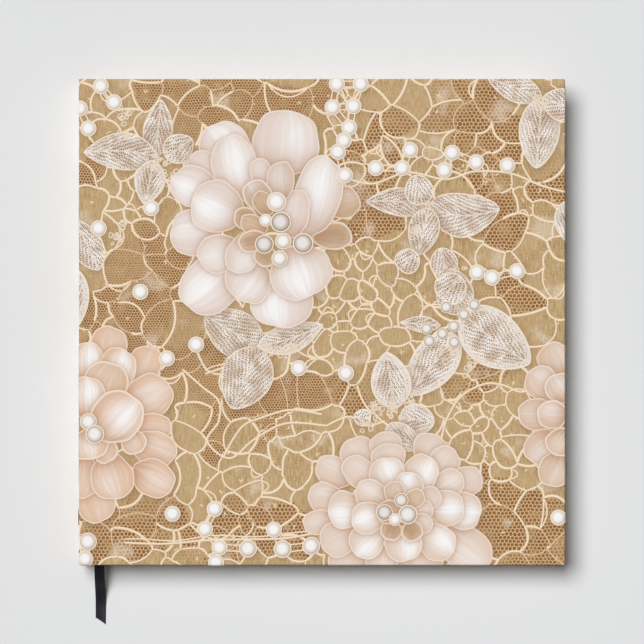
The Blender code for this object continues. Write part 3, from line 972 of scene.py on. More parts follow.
def draw_print():
    """All the print's layers, drawn flat."""
    dice = random.Random(21)
    petals = [petal for bunch in FLOWERS for petal in bunch]
    layers = {name: Layer() for name in ("ground", "cords", "leaves", "petals", "pearls")}
    cords = layers["cords"]
    seeds = scatter_cells(dice)
    nets = cell_nets(dice, seeds)
    motifs = [*LEAVES, *petals, *PEARLS]
    draw_ground(layers["ground"], seeds, nets, motifs)
    draw_cells(cords, dice, seeds, nets, [*LEAVES, *petals], PEARLS)
    draw_specks(cords, dice, seeds, motifs)
    draw_strands(cords, dice)
    draw_knots(cords, dice)
    draw_strings(cords, dice, PEARLS)
    for number, leaf in enumerate(LEAVES):
        leaf.draw(layers["leaves"], LEAF_LEVEL + LEAF_STEP * number, petals + LEAVES[number + 1 :])
    for bunch in FLOWERS:
        for number, petal in enumerate(bunch):
            petal.draw(layers["petals"], PETAL_LEVEL + PETAL_STEP * number, bunch[number + 1 :] + HEARTS)
    for number, pearl in enumerate((*PEARLS, *HEARTS)):
        pearl.draw(layers["pearls"], PEARL_LEVEL + PEARL_STEP * number)
    return {name: layer.mesh(f"flat_{name}") for name, layer in layers.items()}


# ---------------------------------------------------------------- wrapping the print round the book

ARC_CUTS = 4
EDGE_CLEAR_MM = 0.45  # the spine's print stops this far short of the covers' outer faces


def cut(work, geometry, axis, at, sign=1, **how):
    """Cuts a flat mesh where x (axis 0) or y (axis 1) is at."""
    place = Vector((0, 0, 0))
    normal = Vector((0, 0, 0))
    place[axis] = at
    normal[axis] = sign
    bmesh.ops.bisect_plane(work, geom=geometry, plane_co=place, plane_no=normal, **how)


def slice_flat(mesh):
    """Cuts the flat print along every line where it will bend or end."""
    work = bmesh.new()
    work.from_mesh(mesh)
    start = HALF_MM - ROUND_MM
    bends = [start + ARC_MM * step / ARC_CUTS for step in range(ARC_CUTS + 1)]
    lines = [(axis, sign * at) for axis in (0, 1) for sign in (-1, 1) for at in (*bends, HALF_MM)]
    lines += [(0, HALF_MM - SPINE_MM + EDGE_CLEAR_MM), (0, HALF_MM - EDGE_CLEAR_MM)]
    for axis, at in lines:
        spans = ((face, [v.co[axis] for v in face.verts]) for face in work.faces)
        near = [face for face, places in spans if min(places) < at < max(places)]
        edges = list({e for f in near for e in f.edges})
        corners = list({v for f in near for v in f.verts})
        cut(work, edges + corners + near, axis, at, dist=1e-5)
    for axis, sign in ((0, -1), (0, 1), (1, -1), (1, 1)):
        geometry = work.verts[:] + work.edges[:] + work.faces[:]
        cut(work, geometry, axis, sign * (HALF_MM + BLEED_MM), sign, clear_outer=True)
    return work


def bend_over(reach, level):
    """Where a point this far from the middle goes: outwards, and down from the cover's face."""
    past = reach - (HALF_MM - ROUND_MM)
    if past <= 0:
        return reach, -level
    if past < ARC_MM:
        angle = past / ROUND_MM
        radius = ROUND_MM + level
        return HALF_MM - ROUND_MM + radius * math.sin(angle), ROUND_MM - radius * math.cos(angle)
    return HALF_MM + level, ROUND_MM + past - ARC_MM


def bend_cover(point, fore_sign):
    """A flat print point bent over the cover's head, tail and fore-edge, still face up."""
    x, y, level = point
    forward = x * fore_sign
    out_x, down_x = bend_over(forward, level) if forward > 0 else (forward, -level)
    out_y, down_y = bend_over(abs(y), level)
    return out_x * fore_sign, math.copysign(out_y, y), -max(down_x, down_y)


def front_place(point):
    x, y, z = bend_cover(point, 1)
    return x * MM, y * MM, TOP + z * MM


def back_place(point):
    x, y, z = bend_cover(point, -1)
    return -x * MM, y * MM, -z * MM


def spine_place(point):
    x, y, level = point
    return SPINE_X - level * MM, y * MM, (x - HALF_MM + SPINE_MM) * MM


def on_cover(forward, y):
    """Whether a flat place belongs to a cover: not past its spine edge, nor in the open corners."""
    corner = forward > HALF_MM - ROUND_MM and abs(y) > HALF_MM - ROUND_MM
    return forward > -HALF_MM and not corner


def on_spine(x, y):
    return abs(y) < HALF_MM and HALF_MM - SPINE_MM + EDGE_CLEAR_MM < x < HALF_MM - EDGE_CLEAR_MM


PANELS = {
    "front": ("front_cover", front_place, on_cover),
    "back": ("back_cover", back_place, lambda x, y: on_cover(-x, y)),
    "spine": ("page_block", spine_place, on_spine),
}


def wrap_print(layers, looks):
    """Lays every layer of the flat print on the front, the back and the spine."""
    for layer, flat in layers.items():
        sliced = slice_flat(flat)
        for panel, (body, place, belongs) in PANELS.items():
            name = f"{panel}_print_{layer}"
            work = sliced.copy()
            outside = [f for f in work.faces if not belongs(*f.calc_center_median().xy)]
            bmesh.ops.delete(work, geom=outside, context="FACES")
            for vertex in work.verts:
                vertex.co = place(vertex.co)
            mesh = bpy.data.meshes.new(name)
            work.to_mesh(mesh)
            work.free()
            if not mesh.polygons:
                continue
            mesh.materials.append(looks[layer])
            mesh.shade_smooth()
            piece = new_object(name, mesh)
            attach(piece, body)
        sliced.free()
        bpy.data.meshes.remove(flat)


# ---------------------------------------------------------------- the print's materials

PRINT_ROUGHNESS = 0.6
PRINT_SHEEN = 0.12
FINE_NET = 1.3
COARSE_NET = 1.8
CREAM = (250, 236, 216)
DARK_BROWN = (134, 96, 60)


class PrintNodes(Nodes):
    """A matt laminated print, with what each drawn point carries."""

    def __init__(self, name):
        super().__init__(name, PRINT_ROUGHNESS, PRINT_SHEEN)
        self.flat = self.attribute("flat")
        self.local = self.attribute("local")
        self.shape = self.attribute("shape")
        self.tint = self.attribute("tint")
        self.shade = self.attribute("shade", "Fac")


def linen_colour(n, flat):
    """Gold linen with fine upright threads."""
    upright = n.grain(flat, (1.9, 0.22, 1.0), 3.0, 0.6)
    level = n.grain(flat, (0.5, 1.6, 1.0))
    thread = n.plus(n.times(upright, 0.75), n.times(level, 0.25))
    linen = n.mix(n.ramp(thread, 0.36, 0.66), (176, 143, 98), (215, 186, 141))
    cloud = n.ramp(n.noise(flat, 0.045), 0.38, 0.62, 0.0, 0.45)
    return n.mix(cloud, linen, (207, 177, 134))


def tulle(n, flat, pitch):
    """Six-sided holes in a net of this pitch: 1 in the holes and 0 on the threads."""
    pull = n.join(n.noise(flat, 0.22), n.noise(flat, 0.19))
    place = n.vector("ADD", flat, n.vector("SCALE", pull, 1.6))
    rate = 4 * math.pi / math.sqrt(3) / pitch
    waves = []
    for turn in (90, 150, 210):
        angle = math.radians(turn)
        direction = (rate * math.cos(angle), rate * math.sin(angle), 0.0)
        waves.append(n.math("COSINE", n.vector("DOT_PRODUCT", place, direction)))
    return n.ramp(n.plus(*waves), -1.2, -0.35)


def ground_look():
    """Linen, brown net in some cells, and faded ghosts of older lace over both."""
    n = PrintNodes("print_ground")
    x, y, _ = n.split(n.flat)
    coarse = n.math("MAXIMUM", n.ramp(x, 2.0, 8.0), n.fall(y, -82.0, -76.0))
    holes = n.mix(coarse, tulle(n, n.flat, FINE_NET), tulle(n, n.flat, COARSE_NET))
    hole = n.mix(n.noise(n.flat, 0.12), (124, 80, 42), (166, 120, 74))
    net = n.mix(holes, (226, 190, 144), hole)
    wear = n.ramp(n.noise(n.flat, 0.11), 0.34, 0.5, 0.55, 1.0)
    amount = n.math("MULTIPLY", n.split(n.shape)[0], wear, clamp=True)
    colour = n.mix(amount, linen_colour(n, n.flat), net)
    moved = n.vector("ADD", n.flat, (37.0, 11.0, 0.0))
    ghost = n.ramp(n.noise(moved, 0.062), 0.58, 0.70, 0.0, 0.62)
    lace = n.ramp(n.cells(n.flat, 1.1, randomness=1.0), 0.05, 0.26, 1.0, 0.35)
    colour = n.mix(n.times(ghost, lace), colour, (236, 218, 196))
    n.bump(n.grain(n.flat, (2.0, 2.0, 1.0)), 0.00003, 0.35)
    return n.colour(n.mix(n.times(n.shade, 0.32), colour, DARK_BROWN))


def cord_look():
    """Cream cords, a little darker along both sides, with a fine twist."""
    n = PrintNodes("print_cords")
    x, y, _ = n.split(n.local)
    twist = n.sine(n.plus(y, n.times(x, 0.4)), 7.5)
    light = n.mix(n.ramp(twist, -1.0, 1.0, 0.0, 0.35), n.tint, (255, 246, 228))
    side = n.ramp(n.size(x), 0.25, 1.0)
    return n.colour(n.mix(n.times(side, 0.4), light, (226, 192, 150)))


def petal_look():
    """Pearly petals: a long soft light, a darker foot and edge, fine veins and a cream rim."""
    n = PrintNodes("print_petals")
    u, along, edge = n.split(n.local)
    glow, hollow, seed = n.split(n.shape)
    vein_place = n.join(n.times(u, 7.0), n.times(along, 1.1), n.times(seed, 40.0))
    vein = n.ramp(n.noise(vein_place, 1.0, 4.0, 0.62), 0.28, 0.72, -1.0, 1.0)
    streak = n.times(n.plus(n.times(vein, 0.22), 0.82), glow)
    spot = n.times(n.bell(u, n.times(n.sine(seed, 9.0), 0.28), 0.56), n.bell(along, 0.64, 0.40))
    light = n.math("MULTIPLY", spot, streak, clamp=True)
    foot = n.times(n.fall(along, 0.0, 0.55), 0.7)
    inner = n.times(n.fall(edge, 0.6, 3.2), 0.14)
    deep = n.mix(1.0, n.tint, (222, 196, 172), "MULTIPLY")
    colour = n.mix(n.math("ADD", foot, inner, clamp=True), n.tint, deep)
    colour = n.mix(n.times(vein, 0.22), colour, (252, 244, 238))
    colour = n.mix(light, colour, (255, 253, 252))
    pit = n.times(hollow, n.ramp(edge, 0.8, 2.6), 0.5)
    colour = n.mix(pit, colour, (176, 136, 96))
    colour = n.mix(n.times(n.math("POWER", n.shade, 1.7), 0.6), colour, (190, 150, 122))
    open_part = n.math("SUBTRACT", 1.0, n.times(n.shade, 0.45))
    rim = n.times(n.fall(edge, 0.35, 0.7), open_part, 0.75)
    return n.colour(n.mix(rim, colour, (250, 236, 222)))


def leaf_threads(n, x, y, seed):
    """Where a leaf's white threads run: 1 on the threads that fan from its midrib."""
    sideways = n.size(x)
    lean = n.math("SUBTRACT", y, n.times(sideways, 0.75))
    row = n.plus(lean, n.times(n.noise(n.flat, 0.22), 1.6), n.times(seed, 37.0))
    outward = n.plus(sideways, n.times(y, 0.4))
    wall = n.cells(n.join(n.times(row, 1.05), n.times(outward, 0.6), 0.25), 1.0, randomness=0.5)
    fluff = n.grain(n.flat, (1.4, 1.4, 1.0), 3.0, 0.6)
    slit = n.plus(wall, n.times(n.math("SUBTRACT", fluff, 0.5), 0.3))
    return n.fall(slit, 0.13, 0.28)


def leaf_look():
    """Lace leaves: white threads fanning from a midrib, and dots inside a white border."""
    n = PrintNodes("print_leaves")
    x, y, edge = n.split(n.local)
    border, _, seed = n.split(n.shape)
    sideways = n.size(x)
    cloud = n.ramp(n.noise(n.flat, 0.16), 0.35, 0.65)
    gap = n.mix(n.ramp(sideways, 0.0, 6.0, 0.0, 0.6), (138, 100, 72), (180, 146, 114))
    gap = n.mix(n.times(cloud, 0.25), gap, (226, 206, 184))
    thread = n.mix(cloud, n.tint, (255, 249, 242))
    colour = n.mix(leaf_threads(n, x, y, seed), gap, thread)
    colour = n.mix(n.fall(sideways, 0.15, 0.6, 0.7), colour, (246, 232, 214))
    dots = n.ramp(n.cells(n.flat, 0.95, "F1", 0.5), 0.22, 0.42, 0.9, 0.0)
    ring = n.times(n.ramp(edge, 0.9, 1.3), n.fall(edge, 2.1, 2.5))
    dotted = n.mix(n.times(dots, ring, 0.8), (246, 236, 225), (132, 98, 70))
    colour = n.mix(n.times(n.fall(edge, 2.2, 3.4, 0.75), border), colour, dotted)
    colour = n.mix(n.fall(edge, 0.3, 0.75, 0.9), colour, CREAM)
    return n.colour(n.mix(n.times(n.shade, 0.5), colour, (160, 122, 88)))


def pearl_look():
    """Pearls lit from the upper left, in a cream ring; sunk ones are greyer with a dark lip."""
    n = PrintNodes("print_pearls")
    x, y, _ = n.split(n.local)
    sunk = n.split(n.shape)[0]
    reach = n.vector("LENGTH", n.join(x, y))
    glint = n.vector("LENGTH", n.join(n.plus(x, 0.06), n.plus(y, -0.06)))
    low_side = n.vector("LENGTH", n.join(n.plus(x, 0.26), n.plus(y, -0.30)))
    core = n.fall(glint, 0.34, 0.86)
    grey = n.mix(sunk, (226, 212, 198), (190, 172, 154))
    amount = n.times(core, n.math("SUBTRACT", 1.0, n.times(sunk, 0.3)))
    ball = n.mix(amount, grey, (255, 253, 251))
    ball = n.mix(n.ramp(low_side, 0.9, 1.25, 0.0, 0.4), ball, (186, 168, 152))
    lip = n.times(n.ramp(reach, 0.7, 0.86), n.times(sunk, 0.6))
    ball = n.mix(lip, ball, (138, 112, 88))
    return n.colour(n.mix(n.ramp(reach, 0.85, 0.90), ball, CREAM))


def wrap_look():
    """The printed paper itself, seen where the drawn layers stop: linen with faint net."""
    n = Nodes("wrap_paper", PRINT_ROUGHNESS, PRINT_SHEEN)
    place = n.vector("SCALE", n.place(), 1000.0)
    net = n.ramp(n.cells(place, 0.74, randomness=0.55), 0.10, 0.24)
    n.bump(n.noise(place, 2.0), 0.00003, 0.35)
    return n.colour(n.mix(n.times(net, 0.25), linen_colour(n, place), (150, 108, 66)))


# ---------------------------------------------------------------- camera, light and floor

SEEN_WIDTH = 0.2862  # how much of the cover's plane the camera sees
LENS_MM = 200.0
SENSOR_MM = 36.0
SUN_TILT = math.radians(24)
SUN_SPREAD = math.radians(33)
SUN_STRENGTH = 3.02
SKY_STRENGTH = 0.04
SUN_ASIDE = 0.70  # the sun's share of its tilt along each of x and y
FLOOR_HALF = 6.0
WHITE = (1.0, 1.0, 1.0)


def build_camera():
    """Straight above the front cover, with a long lens."""
    data = bpy.data.cameras.new("camera")
    data.lens = LENS_MM
    data.sensor_width = SENSOR_MM
    data.clip_start = 0.01
    data.clip_end = 20.0
    camera = new_object("camera", data)
    camera.location = (0.0, 0.0, TOP + SEEN_WIDTH * LENS_MM / SENSOR_MM)
    bpy.context.scene.camera = camera


def build_light():
    """A broad soft sun from the upper left, and an even sky."""
    data = bpy.data.lights.new("sun", "SUN")
    data.energy = SUN_STRENGTH
    data.angle = SUN_SPREAD
    data.color = WHITE
    sun = new_object("sun", data)
    aside = math.sin(SUN_TILT) * SUN_ASIDE
    towards = Vector((-aside, aside, math.cos(SUN_TILT)))
    sun.rotation_mode = "QUATERNION"
    sun.rotation_quaternion = towards.to_track_quat("Z", "Y")
    world = bpy.data.worlds.new("sky")
    world.use_nodes = True
    background = world.node_tree.nodes["Background"]
    background.inputs["Color"].default_value = (*WHITE, 1.0)
    background.inputs["Strength"].default_value = SKY_STRENGTH
    bpy.context.scene.world = world
    bpy.context.scene.view_settings.view_transform = "Standard"


def build_floor():
    """A plain pale floor under the book."""
    work = bmesh.new()
    bmesh.ops.create_grid(work, x_segments=1, y_segments=1, size=FLOOR_HALF)
    mesh = bpy.data.meshes.new("floor")
    work.to_mesh(mesh)
    work.free()
    look = Nodes("floor_paint", 1.0, 0.0)
    grain = look.ramp(look.noise(look.place(), 3.0), 0.3, 0.7)
    mesh.materials.append(look.colour(look.mix(grain, (232, 233, 234), (234, 235, 236))))
    floor = new_object("floor", mesh)


# ---------------------------------------------------------------- ribbon

ribbon_low, ribbon_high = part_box("ribbon_marker")
RIBBON_X = (ribbon_low.x + ribbon_high.x) / 2
RIBBON_Z = (ribbon_low.z + ribbon_high.z) / 2
RIBBON_WIDTH = ribbon_high.x - ribbon_low.x
RIBBON_THICK = 0.00025
RIBBON_CUP = 0.035  # how far its middle rises, as a share of its width
RIBBON_TIP_SLANT = 0.0031
RIBBON_COLUMNS = 13
WEFT_PITCH = 0.00022
TAIL_ROUTE = (
    (-0.1052, RIBBON_Z),
    (-0.1090, RIBBON_Z - 0.0002),
    (-0.1130, RIBBON_Z - 0.0012),
    (-0.1170, RIBBON_Z - 0.0034),
    (-0.1205, RIBBON_Z - 0.0062),
    (-0.1240, RIBBON_Z - 0.0082),
    (-0.1280, 0.00060),
    (-0.1345, 0.00035),
)
TAIL_STEPS = 60
MARKER_STEPS = 40
TURN_STEPS = 48
ACROSS = Vector((1, 0, 0))


def slab_mesh(name, top, bottom, columns, carried):
    """A closed thin sheet from matching grids of top and bottom points, row by row."""
    count = len(top)
    rows = count // columns
    upper = grid_faces(rows, columns)
    faces = [tuple(reversed(face)) for face in upper]
    faces += [tuple(count + i for i in face) for face in upper]
    rim = list(range(columns))
    rim += [r * columns + columns - 1 for r in range(1, rows)]
    rim += [(rows - 1) * columns + c for c in range(columns - 2, -1, -1)]
    rim += [r * columns for r in range(rows - 2, 0, -1)]
    faces += [(a, b, count + b, count + a) for a, b in zip(rim, rim[1:] + rim[:1])]
    return solid_mesh(name, [*top, *bottom], faces, [*carried, *carried])


def satin_look():
    """Black-navy satin: fine weft lines, a painted sheen that shifts in long soft bands, a selvedge."""
    n = Nodes("ribbon_satin", 0.42, 0.2)
    flat = n.attribute("flat")
    x, y, _ = n.split(flat)
    warp = n.grain(flat, (6000.0, 260.0, 1.0))
    # band is a painted sheen: long soft lighter bands along the ribbon, mixed into its colour below
    band = n.grain(flat, (420.0, 40.0, 1.0))
    colour = n.layered(
        (22, 21, 29),
        (band, 0.35, 0.65, 1.0, (38, 36, 45)),
        (warp, 0.3, 0.7, 0.3, (50, 48, 56)),
        (n.size(x), RIBBON_WIDTH * 0.42, RIBBON_WIDTH * 0.47, 0.6, (18, 16, 23)),
    )
    n.shader.inputs["Anisotropic"].default_value = 0.4
    n.shader.inputs["Sheen Weight"].default_value = 0.05
    n.bump(n.sine(y, 2 * math.pi / WEFT_PITCH), 0.00002, 0.5)
    return n.colour(colour)


def strip(name, route, sides, look, slant=0.0):
    """A ribbon along a route, its width along each point's side, with rounded selvedges."""
    top, bottom, carried = [], [], []
    last = len(route) - 1
    run = 0.0
    for number, (point, side) in enumerate(zip(route, sides)):
        before, after = route[max(number - 1, 0)], route[min(number + 1, last)]
        up = side.cross(after - before).normalized()
        run += (point - before).length
        for column in range(RIBBON_COLUMNS):
            across = 2 * column / (RIBBON_COLUMNS - 1) - 1
            selvedge = 1.0 if abs(across) > 0.8 else 0.62
            thick = RIBBON_THICK / 2 * selvedge * (0.4 if abs(across) == 1 else 1.0)
            cup = up * RIBBON_WIDTH * RIBBON_CUP * (1 - across**2)
            cut_off = Vector((0, -slant * across * (number / last) ** 6, 0))
            place = point + side * across * RIBBON_WIDTH / 2 + cup + cut_off
            top.append(place + up * thick)
            bottom.append(place - up * thick)
            carried.append((across * RIBBON_WIDTH / 2, run, 0.0))
    mesh = slab_mesh(name, top, bottom, RIBBON_COLUMNS, carried)
    mesh.materials.append(look)
    mesh.shade_smooth()
    return new_object(name, mesh)


def build_tail(look):
    """The ribbon's free tail, which hangs out past the foot of the pages."""
    route = [Vector((RIBBON_X, y, z)) for y, z in smooth_route(TAIL_ROUTE, TAIL_STEPS)]
    tail = strip("ribbon_free_tail", route, [ACROSS] * len(route), look, RIBBON_TIP_SLANT / 2)
    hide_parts("ribbon_tail")
    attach(tail, "page_block")


def build_marker(look):
    """The length of ribbon that lies between the pages."""
    step = (ribbon_high.y - ribbon_low.y) / MARKER_STEPS
    route = [Vector((RIBBON_X, ribbon_low.y + step * i, RIBBON_Z)) for i in range(MARKER_STEPS + 1)]
    marker = strip("ribbon_in_pages", route, [ACROSS] * len(route), look)
    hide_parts("ribbon_marker")
    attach(marker, "page_block")


def build_head_turn(look):
    """The ribbon's turn over the head of the pages, from the spine to where it lies flat."""
    anchor_low, anchor_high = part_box("ribbon_anchor")
    anchor_x = anchor_high.x - RIBBON_THICK / 2
    turn = [
        (anchor_x, anchor_low.y, RIBBON_Z),
        (anchor_x, anchor_high.y, RIBBON_Z),
        (anchor_x, 0.1036, RIBBON_Z),
        (anchor_x - 0.0001, 0.1062, RIBBON_Z),
        (anchor_x + 0.0010, 0.1071, RIBBON_Z),
        (anchor_x + 0.0026, 0.1073, RIBBON_Z),
        (RIBBON_X, ribbon_high.y, RIBBON_Z),
    ]
    route = smooth_route(turn, TURN_STEPS)
    sides = []
    for number in range(len(route)):
        share = min(max((number / TURN_STEPS - 0.35) / 0.6, 0.0), 1.0)
        angle = share * share * (3 - 2 * share) * math.pi / 2
        side = Vector((math.sin(angle) * 0.7, math.sin(angle) * 0.3, math.cos(angle)))
        sides.append(side.normalized())
    anchor = strip("ribbon_head_turn", route, sides, look)
    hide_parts("ribbon_anchor")
    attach(anchor, "page_block")


def build_ribbon():
    """The whole ribbon, in its three pieces."""
    look = satin_look()
    build_tail(look)
    build_marker(look)
    build_head_turn(look)


# ---------------------------------------------------------------- pages

RULE_SPACING = 0.0095
RULE_MARGIN = 0.018
SHEETS_IN_SIGNATURE = 4
SHEET = 0.00014
FOLD_STEPS = 12
BEND_COLUMNS = 16
FLAT_COLUMNS = 14
LEAF_ROWS = 12


def paper_look(name, colour, fibre, ruled):
    """Paper with soft mottling and fibres; ruled is half the width of a written page, or 0."""
    n = Nodes(name, 0.82, 0.25)
    flat = n.attribute("flat")
    mottle = n.noise(flat, 90.0, 3.0)
    hairs = n.grain(flat, (700.0, 700.0, 1.0), 3.0, 0.7)
    made = n.layered(colour, (mottle, 0.3, 0.7, 0.3, fibre), (hairs, 0.5, 0.8, 0.2, fibre))
    if ruled:
        x, y, _ = n.split(flat)
        step = n.math("FRACT", n.math("DIVIDE", y, RULE_SPACING))
        line = n.fall(n.size(n.plus(step, -0.5)), 0.012, 0.024)
        inside = [n.math("LESS_THAN", n.size(axis), ruled - RULE_MARGIN) for axis in (x, y)]
        made = n.mix(n.times(line, *inside, 0.75), made, (184, 164, 138))
    n.bump(hairs, 0.00002, 0.3)
    return n.colour(made)


def block_edge_look():
    """The cut edges of the sheets, with faint changes of shade from sheet to sheet."""
    n = Nodes("page_edges", 0.85, 0.2)
    _, y, layer = n.split(n.attribute("flat"))
    shade = n.noise(n.join(n.times(y, 12.0), n.times(layer, 900.0)), 1.0, 3.0)
    fibres = n.grain(n.place(), (900.0, 900.0, 4000.0))
    marks = (shade, 0.35, 0.65, 1.0, (226, 216, 198)), (fibres, 0.5, 0.75, 0.3, (205, 192, 170))
    made = n.layered((240, 234, 222), *marks)
    n.bump(fibres, 0.00003, 0.4)
    return n.colour(made)


def build_leaf(name, look, fold_x, root_x):
    """One turning leaf: a flat sheet from the fold out to its edge."""
    low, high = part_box(name)
    xs = [fold_x + (root_x - fold_x) * i / BEND_COLUMNS for i in range(BEND_COLUMNS)]
    xs += [root_x + (high.x - root_x) * i / FLAT_COLUMNS for i in range(FLAT_COLUMNS + 1)]
    ys = [low.y + (high.y - low.y) * i / LEAF_ROWS for i in range(LEAF_ROWS + 1)]
    grid = [(x, y) for y in ys for x in xs]
    top = [(x, y, high.z) for x, y in grid]
    bottom = [(x, y, low.z) for x, y in grid]
    middle = (fold_x + high.x) / 2
    carried = [(x - middle, y, 0.0) for x, y in grid]
    mesh = slab_mesh(f"{name}_paper", top, bottom, len(xs), carried)
    mesh.materials.append(look)
    leaf = new_object(f"{name}_paper", mesh)
    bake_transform(leaf)
    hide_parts(name)
    return leaf


def build_leaves():
    """Every turning leaf of the front and the back; returns the look of the ruled ones."""
    fold_x, root_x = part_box("front_leaf_stubs")[0].x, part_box("front_flyleaf")[0].x
    page_half = (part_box("front_flyleaf")[1].x - fold_x) / 2
    ruled = paper_look("ruled_paper", (243, 239, 230), (231, 223, 208), page_half)
    plain = paper_look("flyleaf_paper", (236, 226, 208), (224, 209, 184), 0.0)
    turning = [joint["child"] for joint in frame["joints"] if joint["name"].endswith("_turn")]
    for body in turning:
        name = body.removesuffix("_sheet")
        leaf = build_leaf(name, plain if "flyleaf" in name else ruled, fold_x, root_x)
        if "flyleaf" in name:
            side = name.split("_")[0]
            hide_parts(f"{side}_leaf_stubs")
    return ruled


def sheet_profile(fold_x, edge_x, centre_z, reach):
    """The line of a folded sheet seen from the tail: edge, round the fold, back to the edge."""
    turn_x = fold_x + reach
    xs = (edge_x, 0.0, turn_x)
    upper = [(x, centre_z + reach) for x in xs]
    lower = [(x, centre_z - reach) for x in reversed(xs)]
    fold = []
    for step in range(1, FOLD_STEPS):
        angle = math.pi / 2 + math.pi * step / FOLD_STEPS
        fold.append((turn_x + reach * math.cos(angle), centre_z + reach * math.sin(angle)))
    return [*upper, *fold, *lower]


def sheet_faces(tail, head, size):
    """The faces of one folded sheet between its outlines at the tail and the head."""
    faces = []
    for a in range(size):
        b = (a + 1) % size
        faces.append((tail + a, tail + b, head + b, head + a))
    for end in (tail, head):
        for a in range(size // 2 - 1):
            faces.append((end + a, end + a + 1, end + size - 2 - a, end + size - 1 - a))
    return faces


def build_signature(number, edge_look, page_look, dice):
    """A sewn section: folded sheets inside one another, their edges a little uneven."""
    node = f"signature_{number}"
    low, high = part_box(node)
    pitch = (high.z - low.z) / (2 * SHEETS_IN_SIGNATURE)
    centre_z = (low.z + high.z) / 2
    points, faces, carried = [], [], []
    for sheet in range(SHEETS_IN_SIGNATURE):
        reach = (high.z - low.z) / 2 - SHEET / 2 - sheet * pitch
        edge_x = high.x - dice.uniform(0.00002, 0.00022)
        end_y = high.y - dice.uniform(0.00002, 0.0002)
        fold_x = low.x + sheet * pitch
        outer = sheet_profile(fold_x, edge_x, centre_z, reach + SHEET / 2)
        inner = sheet_profile(fold_x + SHEET, edge_x, centre_z, reach - SHEET / 2)
        outline = [*outer, *reversed(inner)]
        layer = number * 0.01 + sheet * 0.0017
        faces += sheet_faces(len(points), len(points) + len(outline), len(outline))
        for y in (-end_y, end_y):
            points += [(x, y, z) for x, z in outline]
            carried += [(x, y, layer + (z > centre_z) * 0.0009) for x, z in outline]
    mesh = solid_mesh(f"{node}_sheets", points, faces, carried)
    mesh.materials.append(edge_look)
    mesh.materials.append(page_look)
    for face in mesh.polygons:
        face.material_index = int(abs(face.normal.z) > 0.5)
    section = new_object(f"{node}_sheets", mesh)
    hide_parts(node)
    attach(section, "page_block")


# ---------------------------------------------------------------- the rest of the inside

BAND_TAPE = 0.00015
BAND_ROWS = 150
BAND_SPOKES = 20
BAND_WIND = 0.00042
BAND_TURNS = 0.0017
MULL_PITCH = 0.0009
THREAD_PITCH = 0.0005


def band_look():
    """Silk wound in cream and gold turns."""
    n = Nodes("band_silk", 0.45, 0.4)
    turns = n.sine(n.split(n.place())[2], 2 * math.pi / BAND_TURNS)
    thread = n.grain(n.place(), (2000.0, 2000.0, 9000.0))
    marks = (turns, -0.15, 0.15, 1.0, (176, 132, 78)), (thread, 0.4, 0.7, 0.3, (140, 104, 62))
    made = n.layered((240, 226, 200), *marks)
    n.bump(thread, 0.00003, 0.5)
    return n.colour(made)


def build_band(node, look):
    """A head or tail band: a corded bead wound with thread, on its cloth tape."""
    low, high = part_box(node)
    radius = (high.x - low.x - BAND_TAPE) / 2
    bead_x = high.x - radius
    bead_y = high.y - radius if high.y > 0 else low.y + radius
    points, faces, carried = [], [], []
    for row in range(BAND_ROWS + 1):
        z = low.z + (high.z - low.z) * row / BAND_ROWS
        for spoke in range(BAND_SPOKES):
            angle = 2 * math.pi * spoke / BAND_SPOKES
            turn = z / BAND_WIND + angle / (2 * math.pi)
            wound = radius * (1.02 + 0.08 * abs(math.sin(turn * math.pi)))
            points.append((bead_x + wound * math.cos(angle), bead_y + wound * math.sin(angle), z))
            carried.append((angle, z, 0.0))
    for row in range(0, BAND_ROWS * BAND_SPOKES, BAND_SPOKES):
        for a in range(BAND_SPOKES):
            b = (a + 1) % BAND_SPOKES
            faces.append((row + a, row + b, row + b + BAND_SPOKES, row + a + BAND_SPOKES))
    faces.append(range(BAND_SPOKES))
    faces.append(range(len(points) - BAND_SPOKES, len(points)))
    mesh = solid_mesh(f"{node}_bead", points, faces, carried)
    mesh.materials.append(look)
    mesh.shade_smooth()
    bead = new_object(f"{node}_bead", mesh)
    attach(bead, "page_block")
    dress(look, (node,))


def board_look(name, colour, fleck, scale):
    """Pressed grey or brown board with flecks and a rough cut edge."""
    n = Nodes(name, 0.9, 0.2)
    grain = n.grain(n.place(), (scale, scale, scale * 4), 4.0, 0.65)
    spots = n.noise(n.place(), scale * 2.2)
    made = n.layered(colour, (grain, 0.3, 0.7, 1.0, fleck), (spots, 0.62, 0.72, 0.4, (92, 82, 70)))
    n.bump(grain, 0.00006, 0.6)
    return n.colour(made)


def mull_look():
    """Open-weave binder's cloth, stiff with glue."""
    n = Nodes("mull_cloth", 0.9, 0.2)
    x, y, z = n.split(n.place())
    rate = 2 * math.pi / MULL_PITCH
    weave = n.math("MAXIMUM", n.sine(n.plus(x, z), rate), n.sine(y, rate))
    made = n.mix(n.ramp(weave, 0.2, 0.8), (176, 164, 142), (226, 218, 202))
    n.bump(weave, 0.00006, 0.7)
    return n.colour(made)


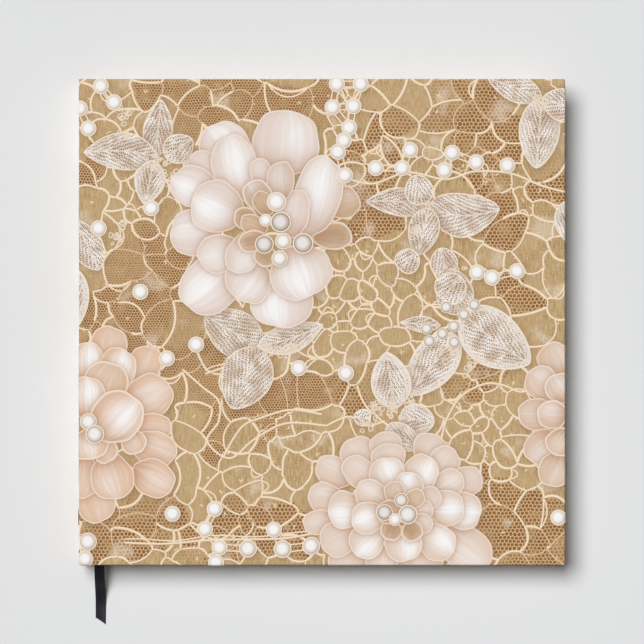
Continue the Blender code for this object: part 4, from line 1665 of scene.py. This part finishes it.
def pastedown_look():
    """Champagne endpaper pasted to the inside of a cover, with a laid texture."""
    n = Nodes("pastedown_paper", 0.78, 0.25)
    mottle = n.noise(n.place(), 60.0, 3.0)
    laid = n.grain(n.place(), (3200.0, 300.0, 1.0))
    marks = (mottle, 0.35, 0.65, 1.0, (229, 214, 188)), (laid, 0.5, 0.7, 0.3, (214, 196, 166))
    made = n.layered((237, 226, 206), *marks)
    n.bump(laid, 0.00003, 0.4)
    return n.colour(made)


def thread_look():
    """Twisted linen sewing thread."""
    n = Nodes("sewing_thread", 0.6, 0.3)
    twist = n.sine(n.split(n.place())[2], 2 * math.pi / THREAD_PITCH)
    made = n.mix(n.ramp(twist, -1.0, 1.0), (206, 192, 164), (240, 232, 214))
    n.bump(twist, 0.00005, 0.6)
    return n.colour(made)


def dress(look, names):
    """Gives CAD nodes a material."""
    for name in names:
        nodes[name].data.materials.clear()
        nodes[name].data.materials.append(look)


def build_inside():
    """Pages, bands and the layers under the print."""
    dice = random.Random(4)
    pages = build_leaves()
    edges = block_edge_look()
    signatures = sum(name.startswith("signature_") for name in nodes)
    for number in range(1, signatures + 1):
        build_signature(number, edges, pages, dice)
    silk = band_look()
    build_band("head_band", silk)
    build_band("tail_band", silk)
    greyboard = board_look("greyboard", (158, 150, 138), (128, 118, 104), 900.0)
    kraft = board_look("kraft_liner", (182, 146, 104), (156, 118, 78), 600.0)
    dress(wrap_look(), ("front_cover_wrap", "back_cover_wrap", "spine_wrap"))
    dress(greyboard, ("front_board", "back_board", "spine_board"))
    dress(kraft, ("spine_liner",))
    dress(mull_look(), ("spine_mull", "front_mull_flange", "back_mull_flange"))
    dress(pastedown_look(), ("front_pastedown", "back_pastedown"))
    dress(thread_look(), [name for name in nodes if name.startswith("sewing_thread_")])


build_camera()
build_ribbon()
build_light()
build_floor()
build_inside()
LOOKS = {
    "ground": ground_look(),
    "cords": cord_look(),
    "leaves": leaf_look(),
    "petals": petal_look(),
    "pearls": pearl_look(),
}
wrap_print(draw_print(), LOOKS)
